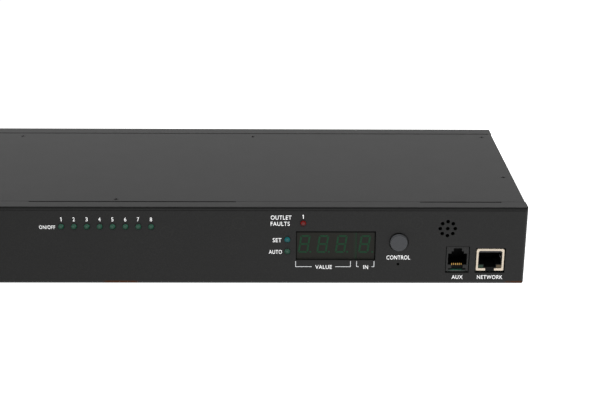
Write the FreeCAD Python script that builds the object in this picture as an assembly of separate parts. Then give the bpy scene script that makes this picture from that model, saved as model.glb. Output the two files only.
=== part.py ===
# Rack power distribution unit, one rack unit high: a folded steel tray and lid around switched
# outlets at the rear, with lamps, a meter, a push button and data sockets at the front.
# Millimetres. X runs along the front from left to right, Y from front to rear, Z up.
# The origin is on the underside, at the middle of the tray.
import FreeCAD, Part
import math
import os
from FreeCAD import Vector

# Tray and lid
width = 440.0
depth = 140.0
height = 44.0
sheet = 1.2
bend_radius = 2.0
lid_sheet = 1.2
lid_gap = 0.25
lid_side_inset = 0.4
front_flange = 9.7
rear_flange = 11.5
side_flange = 11.0
tongue_reach = 9.0
joggle = 0.9
corner_relief = 1.0
centre_tongue_left = 46.1
centre_tongue_right = 64.5
end_tongue_inset = 13.1
end_tongue_length = 43.8

# Countersunk screws of the lid and the inlet
screw_head_diameter = 5.4
screw_diameter = 3.0
screw_length = 6.0
screw_clearance = 0.05
recess_span = 2.6
recess_width = 0.7
recess_depth = 0.9
rear_screw_count = 4
rear_screw_inset = 7.0
rear_screw_setback = 6.0
front_screw_setback = 3.2
side_screw_inset = 5.7
side_screw_from_front = 49.0

# Holes for rack brackets in both side walls
bracket_hole_diameter = 4.2
bracket_hole_rise = 11.0
bracket_hole_first = 24.0
bracket_hole_spacing = 40.0

# Lamps. Front positions are measured from the right end and from mid height.
lamp_diameter = 3.0
lamp_rim_diameter = 4.0
lamp_rim = 1.0
lamp_length = 6.8
lamp_proud = 2.1
lamp_clearance = 0.1
lead_diameter = 0.5
lead_spacing = 2.5
lead_tail = 1.2
lead_clearance = 0.15
outlet_count = 8
lamp_row_from_right = 247.8
lamp_pitch = 6.8
lamp_row_rise = 11.25
circuit_lamp_from_right = 119.6
circuit_lamp_rise = 13.3
status_lamp_from_right = 128.0
status_lamp_rise = 3.95
status_lamp_pitch = 6.8

# Numeric displays and their window
window_from_right = 123.4
window_width = 42.7
window_height = 16.75
window_rise = 0.5
display_margin = 1.0
display_split = 32.4
display_joint = 0.3
display_thickness = 7.3
display_recess = 0.1
digit_height = 10.2
digit_width = 5.5
digit_pitch = 9.9
digit_slant = 8.0
digit_rise = 0.45
digit_inset = 1.0
unit_digit_inset = 0.9
segment_width = 1.0
segment_gap = 0.2
segment_corner = 0.25
segment_depth = 0.4
point_diameter = 1.1
point_offset = 1.3
unit_point_offset = 2.2
meter_digits = 3

# Function button, reset switch and buzzer
button_from_right = 68.45
button_rise = 2.65
button_diameter = 9.2
button_gap = 0.7
button_proud = 1.9
button_edge = 0.4
button_lip = 0.8
button_lip_thickness = 0.9
button_lip_play = 0.2
button_stem_diameter = 4.0
button_travel = 0.5
switch_size = 6.0
switch_height = 3.6
plunger_diameter = 3.4
plunger_proud = 1.0
plunger_seat = 1.6
plunger_clearance = 0.15
reset_drop = 10.2
reset_hole_diameter = 1.5
reset_switch_size = 4.6
reset_switch_height = 3.0
reset_plunger_diameter = 1.8
reset_travel = 0.25
buzzer_from_right = 42.6
buzzer_rise = 10.45
buzzer_diameter = 12.0
buzzer_gap = 3.0
buzzer_mouth = 3.0
sound_hole_diameter = 2.05
sound_circle_diameter = 8.0
sound_hole_count = 8

# Boards, studs and screws
board_thickness = 1.6
board_edge = 5.0
panel_board_floor_gap = 2.3
panel_board_lid_gap = 1.1
standoff_height = 4.85
standoff_diameter = 5.0
stud_diameter = 4.8
board_screw_diameter = 2.5
board_screw_head = 4.6
board_screw_head_height = 1.6
board_screw_reach = 4.0
board_screw_clearance = 0.05
lamp_stud_offset = 8.0
lamp_stud_rise = 8.2
display_stud_left = 153.9
display_stud_right = 59.4
display_stud_rise = 13.5
network_board_gap = 8.8
network_board_setback = 2.0
network_board_side = 5.0
network_stud_span = 34.0
network_stud_front = 26.0
network_stud_rear = 3.0

# Data sockets on the network board
socket_recess = 0.4
socket_clearance = 0.4
socket_drop = 0.85
sensor_socket_from_right = 36.5
sensor_socket_width = 12.0
sensor_socket_height = 14.05
sensor_socket_depth = 15.5
sensor_cavity_depth = 12.5
sensor_trough_depth = 3.0
sensor_groove = 0.5
sensor_floor_width = 9.3
sensor_floor_height = 1.75
sensor_trough_width = 6.2
sensor_trough_height = 1.9
sensor_plug_width = 10.2
sensor_plug_height = 6.6
sensor_step_width = 6.7
sensor_step_height = 1.3
sensor_latch_width = 4.5
sensor_latch_height = 1.8
sensor_contacts = 6
network_socket_from_right = 18.8
network_socket_width = 15.3
network_socket_height = 13.05
network_socket_depth = 21.0
network_cavity_depth = 14.0
shield_wall = 1.3
shield_floor = 1.65
shield_corner = 0.8
insert_recess = 0.5
insert_clearance = 0.05
insert_floor = 0.4
insert_chamfer = 1.0
network_notch_width = 4.8
network_notch_depth = 6.0
network_latch_width = 6.4
network_latch_height = 2.1
network_plug_width = 11.7
network_plug_height = 7.0
network_contacts = 8
socket_lamp_width = 2.7
socket_lamp_height = 1.7
socket_lamp_depth = 6.0
contact_pitch = 1.02
contact_width = 0.4
contact_thickness = 0.4
contact_reach = 7.0
contact_drop = 1.5
contact_lip = 0.7
contact_setback = 2.5

# Outlets and their contacts at the rear
outlet_pitch = 34.5
last_outlet_from_right = 21.0
outlet_lift = 2.15
outlet_flange_width = 32.0
outlet_flange_height = 26.0
outlet_flange_thickness = 2.0
outlet_corner = 1.5
outlet_width = 29.6
outlet_height = 24.0
outlet_depth = 26.0
outlet_fit = 0.2
outlet_clip = 0.9
outlet_clip_length = 5.0
trench_width = 27.6
trench_height = 20.6
trench_depth = 17.5
plug_block_width = 22.6
plug_block_height = 15.4
plug_block_chamfer = 3.6
pin_slot_width = 2.6
pin_slot_height = 4.4
pin_spacing = 14.0
pin_offset = 2.2
fork_depth = 18.5
contact_bar_width = 1.2
contact_bar_height = 4.0
contact_bar_tail = 1.6
contact_leaf = 0.4
contact_inset = 4.0
contact_fit = 0.05
pin_tail = 1.2
pin_hole_clearance = 0.15

# Mains inlet
inlet_from_left = 28.0
inlet_flange_width = 50.0
inlet_flange_height = 31.0
inlet_flange_thickness = 3.0
inlet_corner = 3.0
inlet_width = 34.0
inlet_height = 27.0
inlet_depth = 27.0
inlet_cavity_width = 30.0
inlet_cavity_height = 23.0
inlet_cavity_depth = 24.0
inlet_cavity_chamfer = 5.0
inlet_screw_spacing = 40.0
blade_width = 8.0
blade_thickness = 2.0
blade_length = 17.0
blade_spacing = 13.0
blade_offset = 4.0
blade_fit = 0.05
tab_width = 6.3
tab_thickness = 0.8
tab_length = 9.0

# Thermal breaker
breaker_from_inlet = 40.0
breaker_width = 15.0
breaker_height = 31.0
breaker_depth = 24.0
bushing_diameter = 11.0
bushing_length = 8.0
bushing_bore = 7.4
bushing_clearance = 0.15
breaker_nut_flats = 14.0
breaker_nut_height = 3.0
breaker_button_diameter = 6.6
breaker_button_proud = 2.5
breaker_button_seat = 12.0
breaker_button_room = 1.0
breaker_travel = 4.0
breaker_tab_offset = 9.0

# Relay board and what it carries
relay_board_depth = 70.0
relay_board_rear_gap = 2.8
input_zone = 36.0
relay_width = 12.6
relay_depth = 29.0
relay_height = 15.7
relay_setback = 8.0
relay_edge = 0.6
relay_stud_front = 4.0
relay_stud_rear = 54.0
supply_width = 32.0
supply_depth = 28.0
supply_height = 21.0
supply_from_rear = 3.0
transformer_diameter = 18.0
transformer_bore = 7.0
transformer_thickness = 9.0
transformer_from_front = 16.0
terminal_width = 11.0
terminal_depth = 9.0
terminal_height = 11.0
terminal_inset = 1.0
terminal_pitch = 10.0
terminal_from_front = 8.0

# Ribbon cables, headers and chips
ribbon_width = 12.7
ribbon_thickness = 0.9
ribbon_bend = 4.0
ribbon_arch = 11.0
header_width = 16.0
header_thickness = 6.0
header_height = 8.5
header_from_front = 6.0
header_rise = 6.5
chip_size = 10.0
chip_height = 1.4

# Mains wires
wire_diameter = 3.4
sleeve_width = 8.4
sleeve_thickness = 4.2
sleeve_length = 15.0
sleeve_fit = 0.1
sleeve_overlap = 7.0
live_loop = 17.0
live_slope = 14.0
earth_slope = 20.0
earth_lead = 14.0
earth_stud_diameter = 4.0
earth_stud_height = 9.0
earth_stud_from_inlet = 84.0
lug_diameter = 9.0
lug_thickness = 1.2
lug_shank = 9.0

# Values that follow from the ones above
right_end = width / 2
left_end = -width / 2
front_face = -depth / 2
rear_face = depth / 2
front_inner = front_face + sheet
rear_inner = rear_face - sheet
mid_height = height / 2
lid_front = front_face + front_flange
lid_rear = rear_face - rear_flange
lid_under = height - lid_sheet
panel_board_front = front_inner + display_recess + display_thickness
panel_board_rear = panel_board_front + board_thickness
board_under = sheet + standoff_height
board_top = board_under + board_thickness
overshoot = 1.0


def from_right(distance):
    return right_end - distance


def block(x0, x1, y0, y1, z0, z1):
    return Part.makeBox(x1 - x0, y1 - y0, z1 - z0, Vector(x0, y0, z0))


def centred_block(x, z, w, h, y0, y1):
    return block(x - w / 2, x + w / 2, y0, y1, z - h / 2, z + h / 2)


def rod_x(y, z, diameter, x0, x1):
    return Part.makeCylinder(diameter / 2, x1 - x0, Vector(x0, y, z), Vector(1, 0, 0))


def rod_y(x, z, diameter, y0, y1):
    return Part.makeCylinder(diameter / 2, y1 - y0, Vector(x, y0, z), Vector(0, 1, 0))


def rod_z(x, y, diameter, z0, z1):
    return Part.makeCylinder(diameter / 2, z1 - z0, Vector(x, y, z0), Vector(0, 0, 1))


def face_of(points):
    return Part.Face(Part.makePolygon(points + [points[0]]))


def prism_x(points, x0, x1):
    """A prism along X from an outline of (y, z) points."""
    return face_of([Vector(x0, y, z) for y, z in points]).extrude(Vector(x1 - x0, 0, 0))


def prism_y(points, y0, y1):
    """A prism along Y from an outline of (x, z) points."""
    return face_of([Vector(x, y0, z) for x, z in points]).extrude(Vector(0, y1 - y0, 0))


def prism_z(points, z0, z1):
    """A prism along Z from an outline of (x, y) points."""
    return face_of([Vector(x, y, z0) for x, y in points]).extrude(Vector(0, 0, z1 - z0))


def edges_along(shape, direction):
    found = []
    for edge in shape.Edges:
        along = edge.Vertexes[-1].Point.sub(edge.Vertexes[0].Point)
        if along.Length > 0 and abs(along.normalize().dot(direction)) > 0.999:
            found.append(edge)
    return found


def rounded_along(shape, direction, radius):
    return shape.makeFillet(radius, edges_along(shape, direction))


def join(pieces):
    return pieces[0].multiFuse(pieces[1:]).removeSplitter()


def save(name, solids):
    shape = Part.makeCompound(solids) if isinstance(solids, list) else solids
    if not shape.isValid():
        raise ValueError("not a valid shape: " + name)
    shape.exportStep("parts/" + name + ".step")


def folded_block(x0, x1, y0, y1, z0, z1, radius):
    """A block whose folds along the front, the rear, the base and the corners are rounded."""
    plain = block(x0, x1, y0, y1, z0, z1)
    lengthwise = rounded_along(plain, Vector(1, 0, 0), radius)
    upright = rounded_along(plain, Vector(0, 0, 1), radius)
    base_edges = [e for e in edges_along(plain, Vector(0, 1, 0)) if e.CenterOfMass.z < (z0 + z1) / 2]
    crosswise = plain.makeFillet(radius, base_edges)
    return lengthwise.common(upright).common(crosswise)


# Screws

def screw_places():
    """Places of the lid screws as (x, y)."""
    places = []
    spacing = (width - 2 * rear_screw_inset) / (rear_screw_count - 1)
    for k in range(rear_screw_count):
        x = (k - (rear_screw_count - 1) / 2) * spacing
        places.append((x, lid_rear - rear_screw_setback))
    places.append((0.0, lid_front + front_screw_setback))
    for side in (-1, 1):
        places.append((side * (right_end - side_screw_inset), front_face + side_screw_from_front))
    return places


def countersunk(grow):
    """A countersunk screw with its head face at the origin, pointing down. Grown, it cuts its own hole."""
    head = screw_head_diameter / 2 + grow
    shank = screw_diameter / 2 + grow
    outline = [
        Vector(0, 0, 0),
        Vector(head, 0, 0),
        Vector(shank, 0, shank - head),
        Vector(shank, 0, -screw_length),
        Vector(0, 0, -screw_length),
    ]
    return face_of(outline).revolve(Vector(0, 0, 0), Vector(0, 0, 1), 360)


def slotted_screw():
    reach = recess_span / 2
    half = recess_width / 2
    one = block(-reach, reach, -half, half, -recess_depth, overshoot)
    other = block(-half, half, -reach, reach, -recess_depth, overshoot)
    return countersunk(0).cut((one, other))


def inlet_screw_places():
    return [(inlet_x - inlet_screw_spacing / 2, mid_height), (inlet_x + inlet_screw_spacing / 2, mid_height)]


def turned_to_rear(screw, x, z):
    turned = screw.copy()
    turned.rotate(Vector(0, 0, 0), Vector(1, 0, 0), -90)
    turned.translate(Vector(x, rear_face + inlet_flange_thickness, z))
    return turned


def screws():
    solids = []
    for x, y in screw_places():
        solids.append(slotted_screw().translated(Vector(x, y, height)))
    for x, z in inlet_screw_places():
        solids.append(turned_to_rear(slotted_screw(), x, z))
    return solids


# Places along the front and the rear

lamp_z = mid_height + lamp_row_rise
lamp_places = [(from_right(lamp_row_from_right) + k * lamp_pitch, lamp_z) for k in range(outlet_count)]
circuit_lamp_place = (from_right(circuit_lamp_from_right), mid_height + circuit_lamp_rise)
status_lamp_places = [
    (from_right(status_lamp_from_right), mid_height + status_lamp_rise - k * status_lamp_pitch)
    for k in range(2)
]
window_left = from_right(window_from_right)
window_middle = mid_height + window_rise
button_x = from_right(button_from_right)
button_z = mid_height + button_rise
reset_z = mid_height - reset_drop
buzzer_x = from_right(buzzer_from_right)
buzzer_z = mid_height + buzzer_rise
sensor_x = from_right(sensor_socket_from_right)
network_x = from_right(network_socket_from_right)
socket_face = front_face + socket_recess
outlet_z = board_top + outlet_lift + outlet_height / 2
outlet_places = [
    from_right(last_outlet_from_right) - (outlet_count - 1 - k) * outlet_pitch for k in range(outlet_count)
]
inlet_x = left_end + inlet_from_left
breaker_x = inlet_x + breaker_from_inlet
relay_board_left = outlet_places[0] - outlet_width / 2 - input_zone
relay_board_right = outlet_places[-1] + outlet_width / 2
relay_board_end = rear_inner - relay_board_rear_gap
relay_board_start = relay_board_end - relay_board_depth
network_board_left = sensor_x - sensor_socket_width / 2 - network_board_side
network_board_right = network_x + network_socket_width / 2 + network_board_side
network_board_start = front_inner + network_board_setback
network_board_end = relay_board_start - network_board_gap


# Tray and lid

def tongue(x0, x1, seam, inward):
    """A strip that steps down from a flange edge and runs on under the lid. Inward is 1 or -1 along Y."""
    lean = math.atan2(lid_sheet, joggle)
    shift = sheet * math.tan(lean / 2)
    root = -joggle - shift - overshoot
    outline = [
        (root, height),
        (-joggle, height),
        (0, lid_under),
        (tongue_reach, lid_under),
        (tongue_reach, lid_under - sheet),
        (-shift, lid_under - sheet),
        (-joggle - shift, height - sheet),
        (root, height - sheet),
    ]
    return prism_x([(seam + inward * y, z) for y, z in outline], x0, x1)


def tongue_room(x0, x1, seam, inward):
    lean = math.atan2(lid_sheet, joggle)
    root = joggle + sheet * math.tan(lean / 2) + overshoot
    y0, y1 = sorted((seam - inward * root, seam + inward * overshoot))
    return block(x0, x1, y0, y1, height - sheet, height + overshoot)


def tongue_spans():
    """Front tongues as (x0, x1), then the one along the rear."""
    end = right_end - end_tongue_inset
    front = [
        (-end, -end + end_tongue_length),
        (-centre_tongue_left, centre_tongue_right),
        (end - end_tongue_length, end),
    ]
    reach = right_end - sheet - corner_relief
    return front, (-reach, reach)


def front_cuts():
    y0 = front_face - overshoot
    y1 = front_inner + overshoot
    bore = lamp_diameter + 2 * lamp_clearance
    cuts = [rod_y(x, z, bore, y0, y1) for x, z in lamp_places + [circuit_lamp_place] + status_lamp_places]
    x = window_left + window_width / 2
    cuts.append(centred_block(x, window_middle, window_width, window_height, y0, y1))
    cuts.append(rod_y(button_x, button_z, button_diameter + 2 * button_gap, y0, y1))
    cuts.append(rod_y(button_x, reset_z, reset_hole_diameter, y0, y1))
    cuts.append(rod_y(buzzer_x, buzzer_z, sound_hole_diameter, y0, y1))
    for k in range(sound_hole_count):
        turn = 2 * math.pi * k / sound_hole_count
        x = buzzer_x + sound_circle_diameter / 2 * math.cos(turn)
        z = buzzer_z + sound_circle_diameter / 2 * math.sin(turn)
        cuts.append(rod_y(x, z, sound_hole_diameter, y0, y1))
    for x, w, h in (
        (sensor_x, sensor_socket_width, sensor_socket_height),
        (network_x, network_socket_width, network_socket_height),
    ):
        room = socket_clearance
        x0, x1 = x - w / 2 - room, x + w / 2 + room
        cuts.append(block(x0, x1, y0, y1, board_top - socket_drop, board_top + h + room))
    return cuts


def rear_cuts():
    y0 = rear_inner - overshoot
    y1 = rear_face + overshoot
    fit = 2 * outlet_fit
    wide, tall = outlet_width + fit, outlet_height + fit
    cuts = [centred_block(x, outlet_z, wide, tall, y0, y1) for x in outlet_places]
    cuts.append(centred_block(inlet_x, mid_height, inlet_width + fit, inlet_height + fit, y0, y1))
    cuts.append(rod_y(breaker_x, mid_height, bushing_diameter + 2 * bushing_clearance, y0, y1))
    for x, z in inlet_screw_places():
        cuts.append(turned_to_rear(countersunk(screw_clearance), x, z))
    return cuts


def bracket_cuts():
    cuts = []
    for side in (-1, 1):
        x0, x1 = sorted((side * (right_end + overshoot), side * (right_end - sheet - overshoot)))
        for y in (front_face + bracket_hole_first, front_face + bracket_hole_first + bracket_hole_spacing):
            for rise in (-bracket_hole_rise, bracket_hole_rise):
                cuts.append(rod_x(y, mid_height + rise, bracket_hole_diameter, x0, x1))
    return cuts


def tray():
    outer = folded_block(left_end, right_end, front_face, rear_face, 0, height, bend_radius)
    inner = folded_block(
        left_end + sheet, right_end - sheet, front_inner, rear_inner, sheet, height - sheet,
        bend_radius - sheet,
    )
    x0, x1 = left_end + sheet, right_end - sheet
    mouth = block(x0, x1, lid_front, lid_rear, lid_under - sheet, height + overshoot)
    x0, x1 = left_end - overshoot, right_end + overshoot
    seat = block(x0, x1, lid_front, lid_rear, lid_under, height + overshoot)
    shell = outer.cut((inner, mouth, seat))
    front_spans, rear_span = tongue_spans()
    rooms = [tongue_room(x0, x1, lid_front, 1) for x0, x1 in front_spans]
    rooms.append(tongue_room(rear_span[0], rear_span[1], lid_rear, -1))
    shell = shell.cut(tuple(rooms))
    added = [tongue(x0, x1, lid_front, 1) for x0, x1 in front_spans]
    added.append(tongue(rear_span[0], rear_span[1], lid_rear, -1))
    flange_start = lid_front + tongue_reach + corner_relief
    flange_end = lid_rear - tongue_reach - corner_relief
    for side in (-1, 1):
        x0, x1 = sorted((side * (right_end - sheet - side_flange), side * (right_end - sheet / 2)))
        added.append(block(x0, x1, flange_start, flange_end, lid_under - sheet, lid_under))
    shell = join([shell] + added)
    cuts = front_cuts() + rear_cuts() + bracket_cuts()
    for x, y in screw_places():
        cuts.append(countersunk(screw_clearance).translated(Vector(x, y, height)))
    return shell.cut(tuple(cuts))


def lid():
    half = right_end - lid_side_inset
    plate = block(-half, half, lid_front + lid_gap, lid_rear - lid_gap, lid_under, height)
    holes = [countersunk(screw_clearance).translated(Vector(x, y, height)) for x, y in screw_places()]
    return plate.cut(tuple(holes))


# Studs, standoffs and board screws

def lamp_studs():
    z = mid_height + lamp_stud_rise
    return [(lamp_places[0][0] - lamp_stud_offset, z), (lamp_places[-1][0] + lamp_stud_offset, z)]


def display_studs():
    places = []
    for x in (from_right(display_stud_left), from_right(display_stud_right)):
        for rise in (-display_stud_rise, display_stud_rise):
            places.append((x, mid_height + rise))
    return places


def network_studs():
    middle = (network_board_left + network_board_right) / 2
    places = []
    for x in (middle - network_stud_span / 2, middle + network_stud_span / 2):
        for y in (network_board_start + network_stud_front, network_board_end - network_stud_rear):
            places.append((x, y))
    return places


def relay_studs():
    """Standoffs in the gaps between outlets, and one at the input end."""
    places = [(relay_board_left + board_edge, relay_board_start + relay_board_depth / 2)]
    for k in (0, outlet_count // 2 - 1, outlet_count - 2):
        x = (outlet_places[k] + outlet_places[k + 1]) / 2
        for y in (relay_stud_front, relay_stud_rear):
            places.append((x, relay_board_start + y))
    return places


def base_standoffs():
    bore = board_screw_diameter + 2 * board_screw_clearance
    solids = []
    for x, y in network_studs() + relay_studs():
        post = rod_z(x, y, standoff_diameter, sheet, board_under)
        solids.append(post.cut(rod_z(x, y, bore, board_under - board_screw_reach, board_under + overshoot)))
    return solids


def panel_studs():
    bore = board_screw_diameter + 2 * board_screw_clearance
    solids = []
    for x, z in lamp_studs() + display_studs():
        post = rod_y(x, z, stud_diameter, front_inner, panel_board_front)
        y0, y1 = panel_board_front - board_screw_reach, panel_board_front + overshoot
        solids.append(post.cut(rod_y(x, z, bore, y0, y1)))
    solids.append(rod_z(inlet_x, earth_stud_y, earth_stud_diameter, sheet, sheet + earth_stud_height))
    return solids


def pan_screw(depth_below):
    """A pan head screw standing on the origin, its shank pointing down."""
    head = rod_z(0, 0, board_screw_head, 0, board_screw_head_height)
    head = head.makeFillet(board_screw_head_height / 3, [head.Edges[0]])
    shank = rod_z(0, 0, board_screw_diameter, -depth_below, overshoot / 2)
    reach = board_screw_head / 4
    half = recess_width / 2
    top = board_screw_head_height
    one = block(-reach, reach, -half, half, top / 2, top + overshoot)
    other = block(-half, half, -reach, reach, top / 2, top + overshoot)
    return join([head, shank]).cut((one, other))


def board_screws():
    shape = pan_screw(board_thickness + board_screw_reach - 2 * board_screw_clearance)
    solids = [shape.translated(Vector(x, y, board_top)) for x, y in network_studs() + relay_studs()]
    for x, z in lamp_studs() + display_studs():
        turned = shape.copy()
        turned.rotate(Vector(0, 0, 0), Vector(1, 0, 0), -90)
        turned.translate(Vector(x, panel_board_rear, z))
        solids.append(turned)
    return solids


def screw_hole_y(x, z):
    bore = board_screw_diameter + 4 * board_screw_clearance
    return rod_y(x, z, bore, panel_board_front - overshoot, panel_board_rear + overshoot)


def screw_hole_z(x, y):
    bore = board_screw_diameter + 4 * board_screw_clearance
    return rod_z(x, y, bore, board_under - overshoot, board_top + overshoot)


# Lamps

lamp_tip = front_face - lamp_proud
lamp_back = lamp_tip + lamp_length


def lamp(x, z):
    radius = lamp_diameter / 2
    barrel = rod_y(x, z, lamp_diameter, lamp_tip + radius, lamp_back)
    dome = Part.makeSphere(radius, Vector(x, lamp_tip + radius, z))
    rim = rod_y(x, z, lamp_rim_diameter, lamp_back - lamp_rim, lamp_back)
    return join([barrel, dome, rim])


def lead_places(x, z):
    return [(x - lead_spacing / 2, z), (x + lead_spacing / 2, z)]


def lamp_leads():
    solids = []
    for x, z in lamp_places + [circuit_lamp_place] + status_lamp_places:
        for lx, lz in lead_places(x, z):
            solids.append(rod_y(lx, lz, lead_diameter, lamp_back, panel_board_rear + lead_tail))
    return solids


def lead_holes(places):
    bore = lead_diameter + 2 * lead_clearance
    holes = []
    for x, z in places:
        for lx, lz in lead_places(x, z):
            holes.append(rod_y(lx, lz, bore, panel_board_front - overshoot, panel_board_rear + overshoot))
    return holes


def lamp_board():
    studs = lamp_studs()
    low = studs[0][1] - board_edge
    high = lamp_z + board_edge
    x0, x1 = studs[0][0] - board_edge, studs[-1][0] + board_edge
    plate = block(x0, x1, panel_board_front, panel_board_rear, low, high)
    return plate.cut(tuple(lead_holes(lamp_places) + [screw_hole_y(x, z) for x, z in studs]))


# Displays

def segment_outlines(wide, tall, thick):
    """Seven segments of an upright digit with its lower left corner at the origin, mitred at the corners."""
    half = thick / 2
    gap = segment_gap
    start = segment_corner + gap
    middle = tall / 2
    sill = [(start, 0), (wide - start, 0), (wide - thick - gap, thick), (thick + gap, thick)]
    top = middle - gap
    post = [(0, start), (thick, thick + gap), (thick, top - half), (half, top), (0, top)]
    bar = [(half + gap, middle), (thick + gap, middle + half), (wide - thick - gap, middle + half)]
    bar += [(wide - x, tall - z) for x, z in bar]
    outlines = [bar, sill, [(x, tall - z) for x, z in sill]]
    for x0, way in ((0, 1), (wide, -1)):
        outlines.append([(x0 + way * x, z) for x, z in post])
        outlines.append([(x0 + way * x, tall - z) for x, z in post])
    return outlines


def digit_solids(left, point_gap):
    """The segments and the point of one leaning digit."""
    face = front_inner + display_recess
    foot = window_middle + digit_rise - digit_height / 2
    lean = math.tan(math.radians(digit_slant))
    solids = []
    for outline in segment_outlines(digit_width, digit_height, segment_width):
        leaning = [(left + x + z * lean, foot + z) for x, z in outline]
        solids.append(prism_y(leaning, face, face + segment_depth))
    x = left + digit_width + point_gap
    solids.append(rod_y(x, foot + point_diameter / 2, point_diameter, face, face + segment_depth))
    return solids


def meter_segments():
    solids = []
    for k in range(meter_digits):
        solids += digit_solids(window_left + digit_inset + k * digit_pitch, point_offset)
    return solids


def unit_segments():
    return digit_solids(window_left + display_split + unit_digit_inset, unit_point_offset)


def display_block(x0, x1):
    low = window_middle - window_height / 2 - display_margin
    high = window_middle + window_height / 2 + display_margin
    return block(x0, x1, front_inner + display_recess, panel_board_front, low, high)


def meter_display():
    right = window_left + display_split - display_joint / 2
    return display_block(window_left - display_margin, right).cut(tuple(meter_segments()))


def unit_display():
    left = window_left + display_split + display_joint / 2
    return display_block(left, window_left + window_width + display_margin).cut(tuple(unit_segments()))


def display_board():
    studs = display_studs()
    x0 = studs[0][0] - board_edge
    x1 = studs[-1][0] + board_edge
    x2 = buzzer_x + buzzer_diameter / 2 + board_edge / 2
    low = sheet + panel_board_floor_gap
    high = lid_under - sheet - panel_board_lid_gap
    step = buzzer_z - buzzer_diameter / 2 - overshoot
    outline = [(x0, low), (x1, low), (x1, step), (x2, step), (x2, high), (x0, high)]
    plate = prism_y(outline, panel_board_front, panel_board_rear)
    holes = lead_holes([circuit_lamp_place] + status_lamp_places)
    return plate.cut(tuple(holes + [screw_hole_y(x, z) for x, z in studs]))


# Function button, reset switch and buzzer

switch_face = panel_board_front - switch_height
reset_face = panel_board_front - reset_switch_height


def switch_body(z, size, face, plunger, travel):
    shell = centred_block(button_x, z, size, size, face, panel_board_front)
    well = plunger_seat + travel + plunger_clearance
    return shell.cut(rod_y(button_x, z, plunger + 2 * plunger_clearance, face - overshoot, face + well))


def switch_plunger(z, face, diameter):
    return rod_y(button_x, z, diameter, face - plunger_proud, face + plunger_seat)


def function_button():
    hole = button_diameter + 2 * button_gap
    lip_front = front_inner + button_lip_play
    lip_back = lip_front + button_lip_thickness
    cap = rod_y(button_x, button_z, button_diameter, front_face - button_proud, lip_back)
    rim = [e for e in cap.Edges if e.CenterOfMass.y < front_face and e.Closed and e.Length > button_diameter]
    cap = cap.makeFillet(button_edge, rim)
    lip = rod_y(button_x, button_z, hole + 2 * button_lip, lip_front, lip_back)
    stem = rod_y(button_x, button_z, button_stem_diameter, lip_front, switch_face - plunger_proud)
    return join([cap, lip, stem])


def buzzer():
    front = front_inner + buzzer_gap
    can = rod_y(buzzer_x, buzzer_z, buzzer_diameter, front, panel_board_front)
    return can.cut(rod_y(buzzer_x, buzzer_z, buzzer_mouth, front - overshoot, front + buzzer_mouth))


# Data sockets

def stacked_cut(x, z, rows, y0, y1):
    """Openings of given widths and heights, one above the other."""
    cuts = []
    for w, h in rows:
        cuts.append(block(x - w / 2, x + w / 2, y0, y1, z, z + h))
        z += h
    return cuts


sensor_sill = socket_face + sensor_trough_depth
sensor_plug_low = board_top + sensor_floor_height + sensor_trough_height
sensor_sill_top = sensor_plug_low - sensor_groove


def sensor_socket():
    half = sensor_socket_width / 2
    back = socket_face + sensor_socket_depth
    top = board_top + sensor_socket_height
    shell = block(sensor_x - half, sensor_x + half, socket_face, back, board_top, top)
    y0 = socket_face - overshoot
    mouth = [(sensor_floor_width, sensor_floor_height), (sensor_trough_width, sensor_trough_height)]
    cavity = [
        (sensor_plug_width, sensor_plug_height),
        (sensor_step_width, sensor_step_height),
        (sensor_latch_width, sensor_latch_height),
    ]
    cuts = stacked_cut(sensor_x, board_top, mouth, y0, sensor_sill)
    groove = [(sensor_trough_width, sensor_groove)]
    cuts += stacked_cut(sensor_x, sensor_sill_top, groove, y0, socket_face + sensor_cavity_depth)
    cuts += stacked_cut(sensor_x, sensor_plug_low, cavity, y0, socket_face + sensor_cavity_depth)
    return shell.cut(tuple(cuts))


def top_chamfered(shape, size):
    """A block with its two upper edges along Y cut off."""
    top = shape.BoundBox.ZMax
    upper = [e for e in edges_along(shape, Vector(0, 1, 0)) if e.CenterOfMass.z > top - size]
    return shape.makeChamfer(size, upper)


def network_shield():
    half = network_socket_width / 2
    top = board_top + network_socket_height
    back = socket_face + network_socket_depth
    outer = block(network_x - half, network_x + half, socket_face, back, board_top, top)
    outer = rounded_along(outer, Vector(0, 1, 0), shield_corner)
    wall = shield_wall
    hollow = block(
        network_x - half + wall, network_x + half - wall, socket_face - overshoot, back + overshoot,
        board_top + shield_floor, top - wall,
    )
    notch = block(
        network_x - network_notch_width / 2, network_x + network_notch_width / 2,
        socket_face - overshoot, socket_face + network_notch_depth,
        board_top - overshoot, board_top + shield_floor + overshoot,
    )
    return outer.cut((top_chamfered(hollow, insert_chamfer), notch))


insert_face = socket_face + insert_recess
insert_half = network_socket_width / 2 - shield_wall - insert_clearance
insert_low = board_top + shield_floor + insert_clearance
insert_high = board_top + network_socket_height - shield_wall - insert_clearance


def socket_lamps(grow):
    solids = []
    for side in (-1, 1):
        x0, x1 = sorted((side * (insert_half + grow), side * (insert_half - socket_lamp_width - grow)))
        low = insert_low - grow
        high = insert_low + socket_lamp_height + grow
        back = insert_face + socket_lamp_depth + grow
        solids.append(block(network_x + x0, network_x + x1, insert_face - grow, back, low, high))
    return solids


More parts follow.
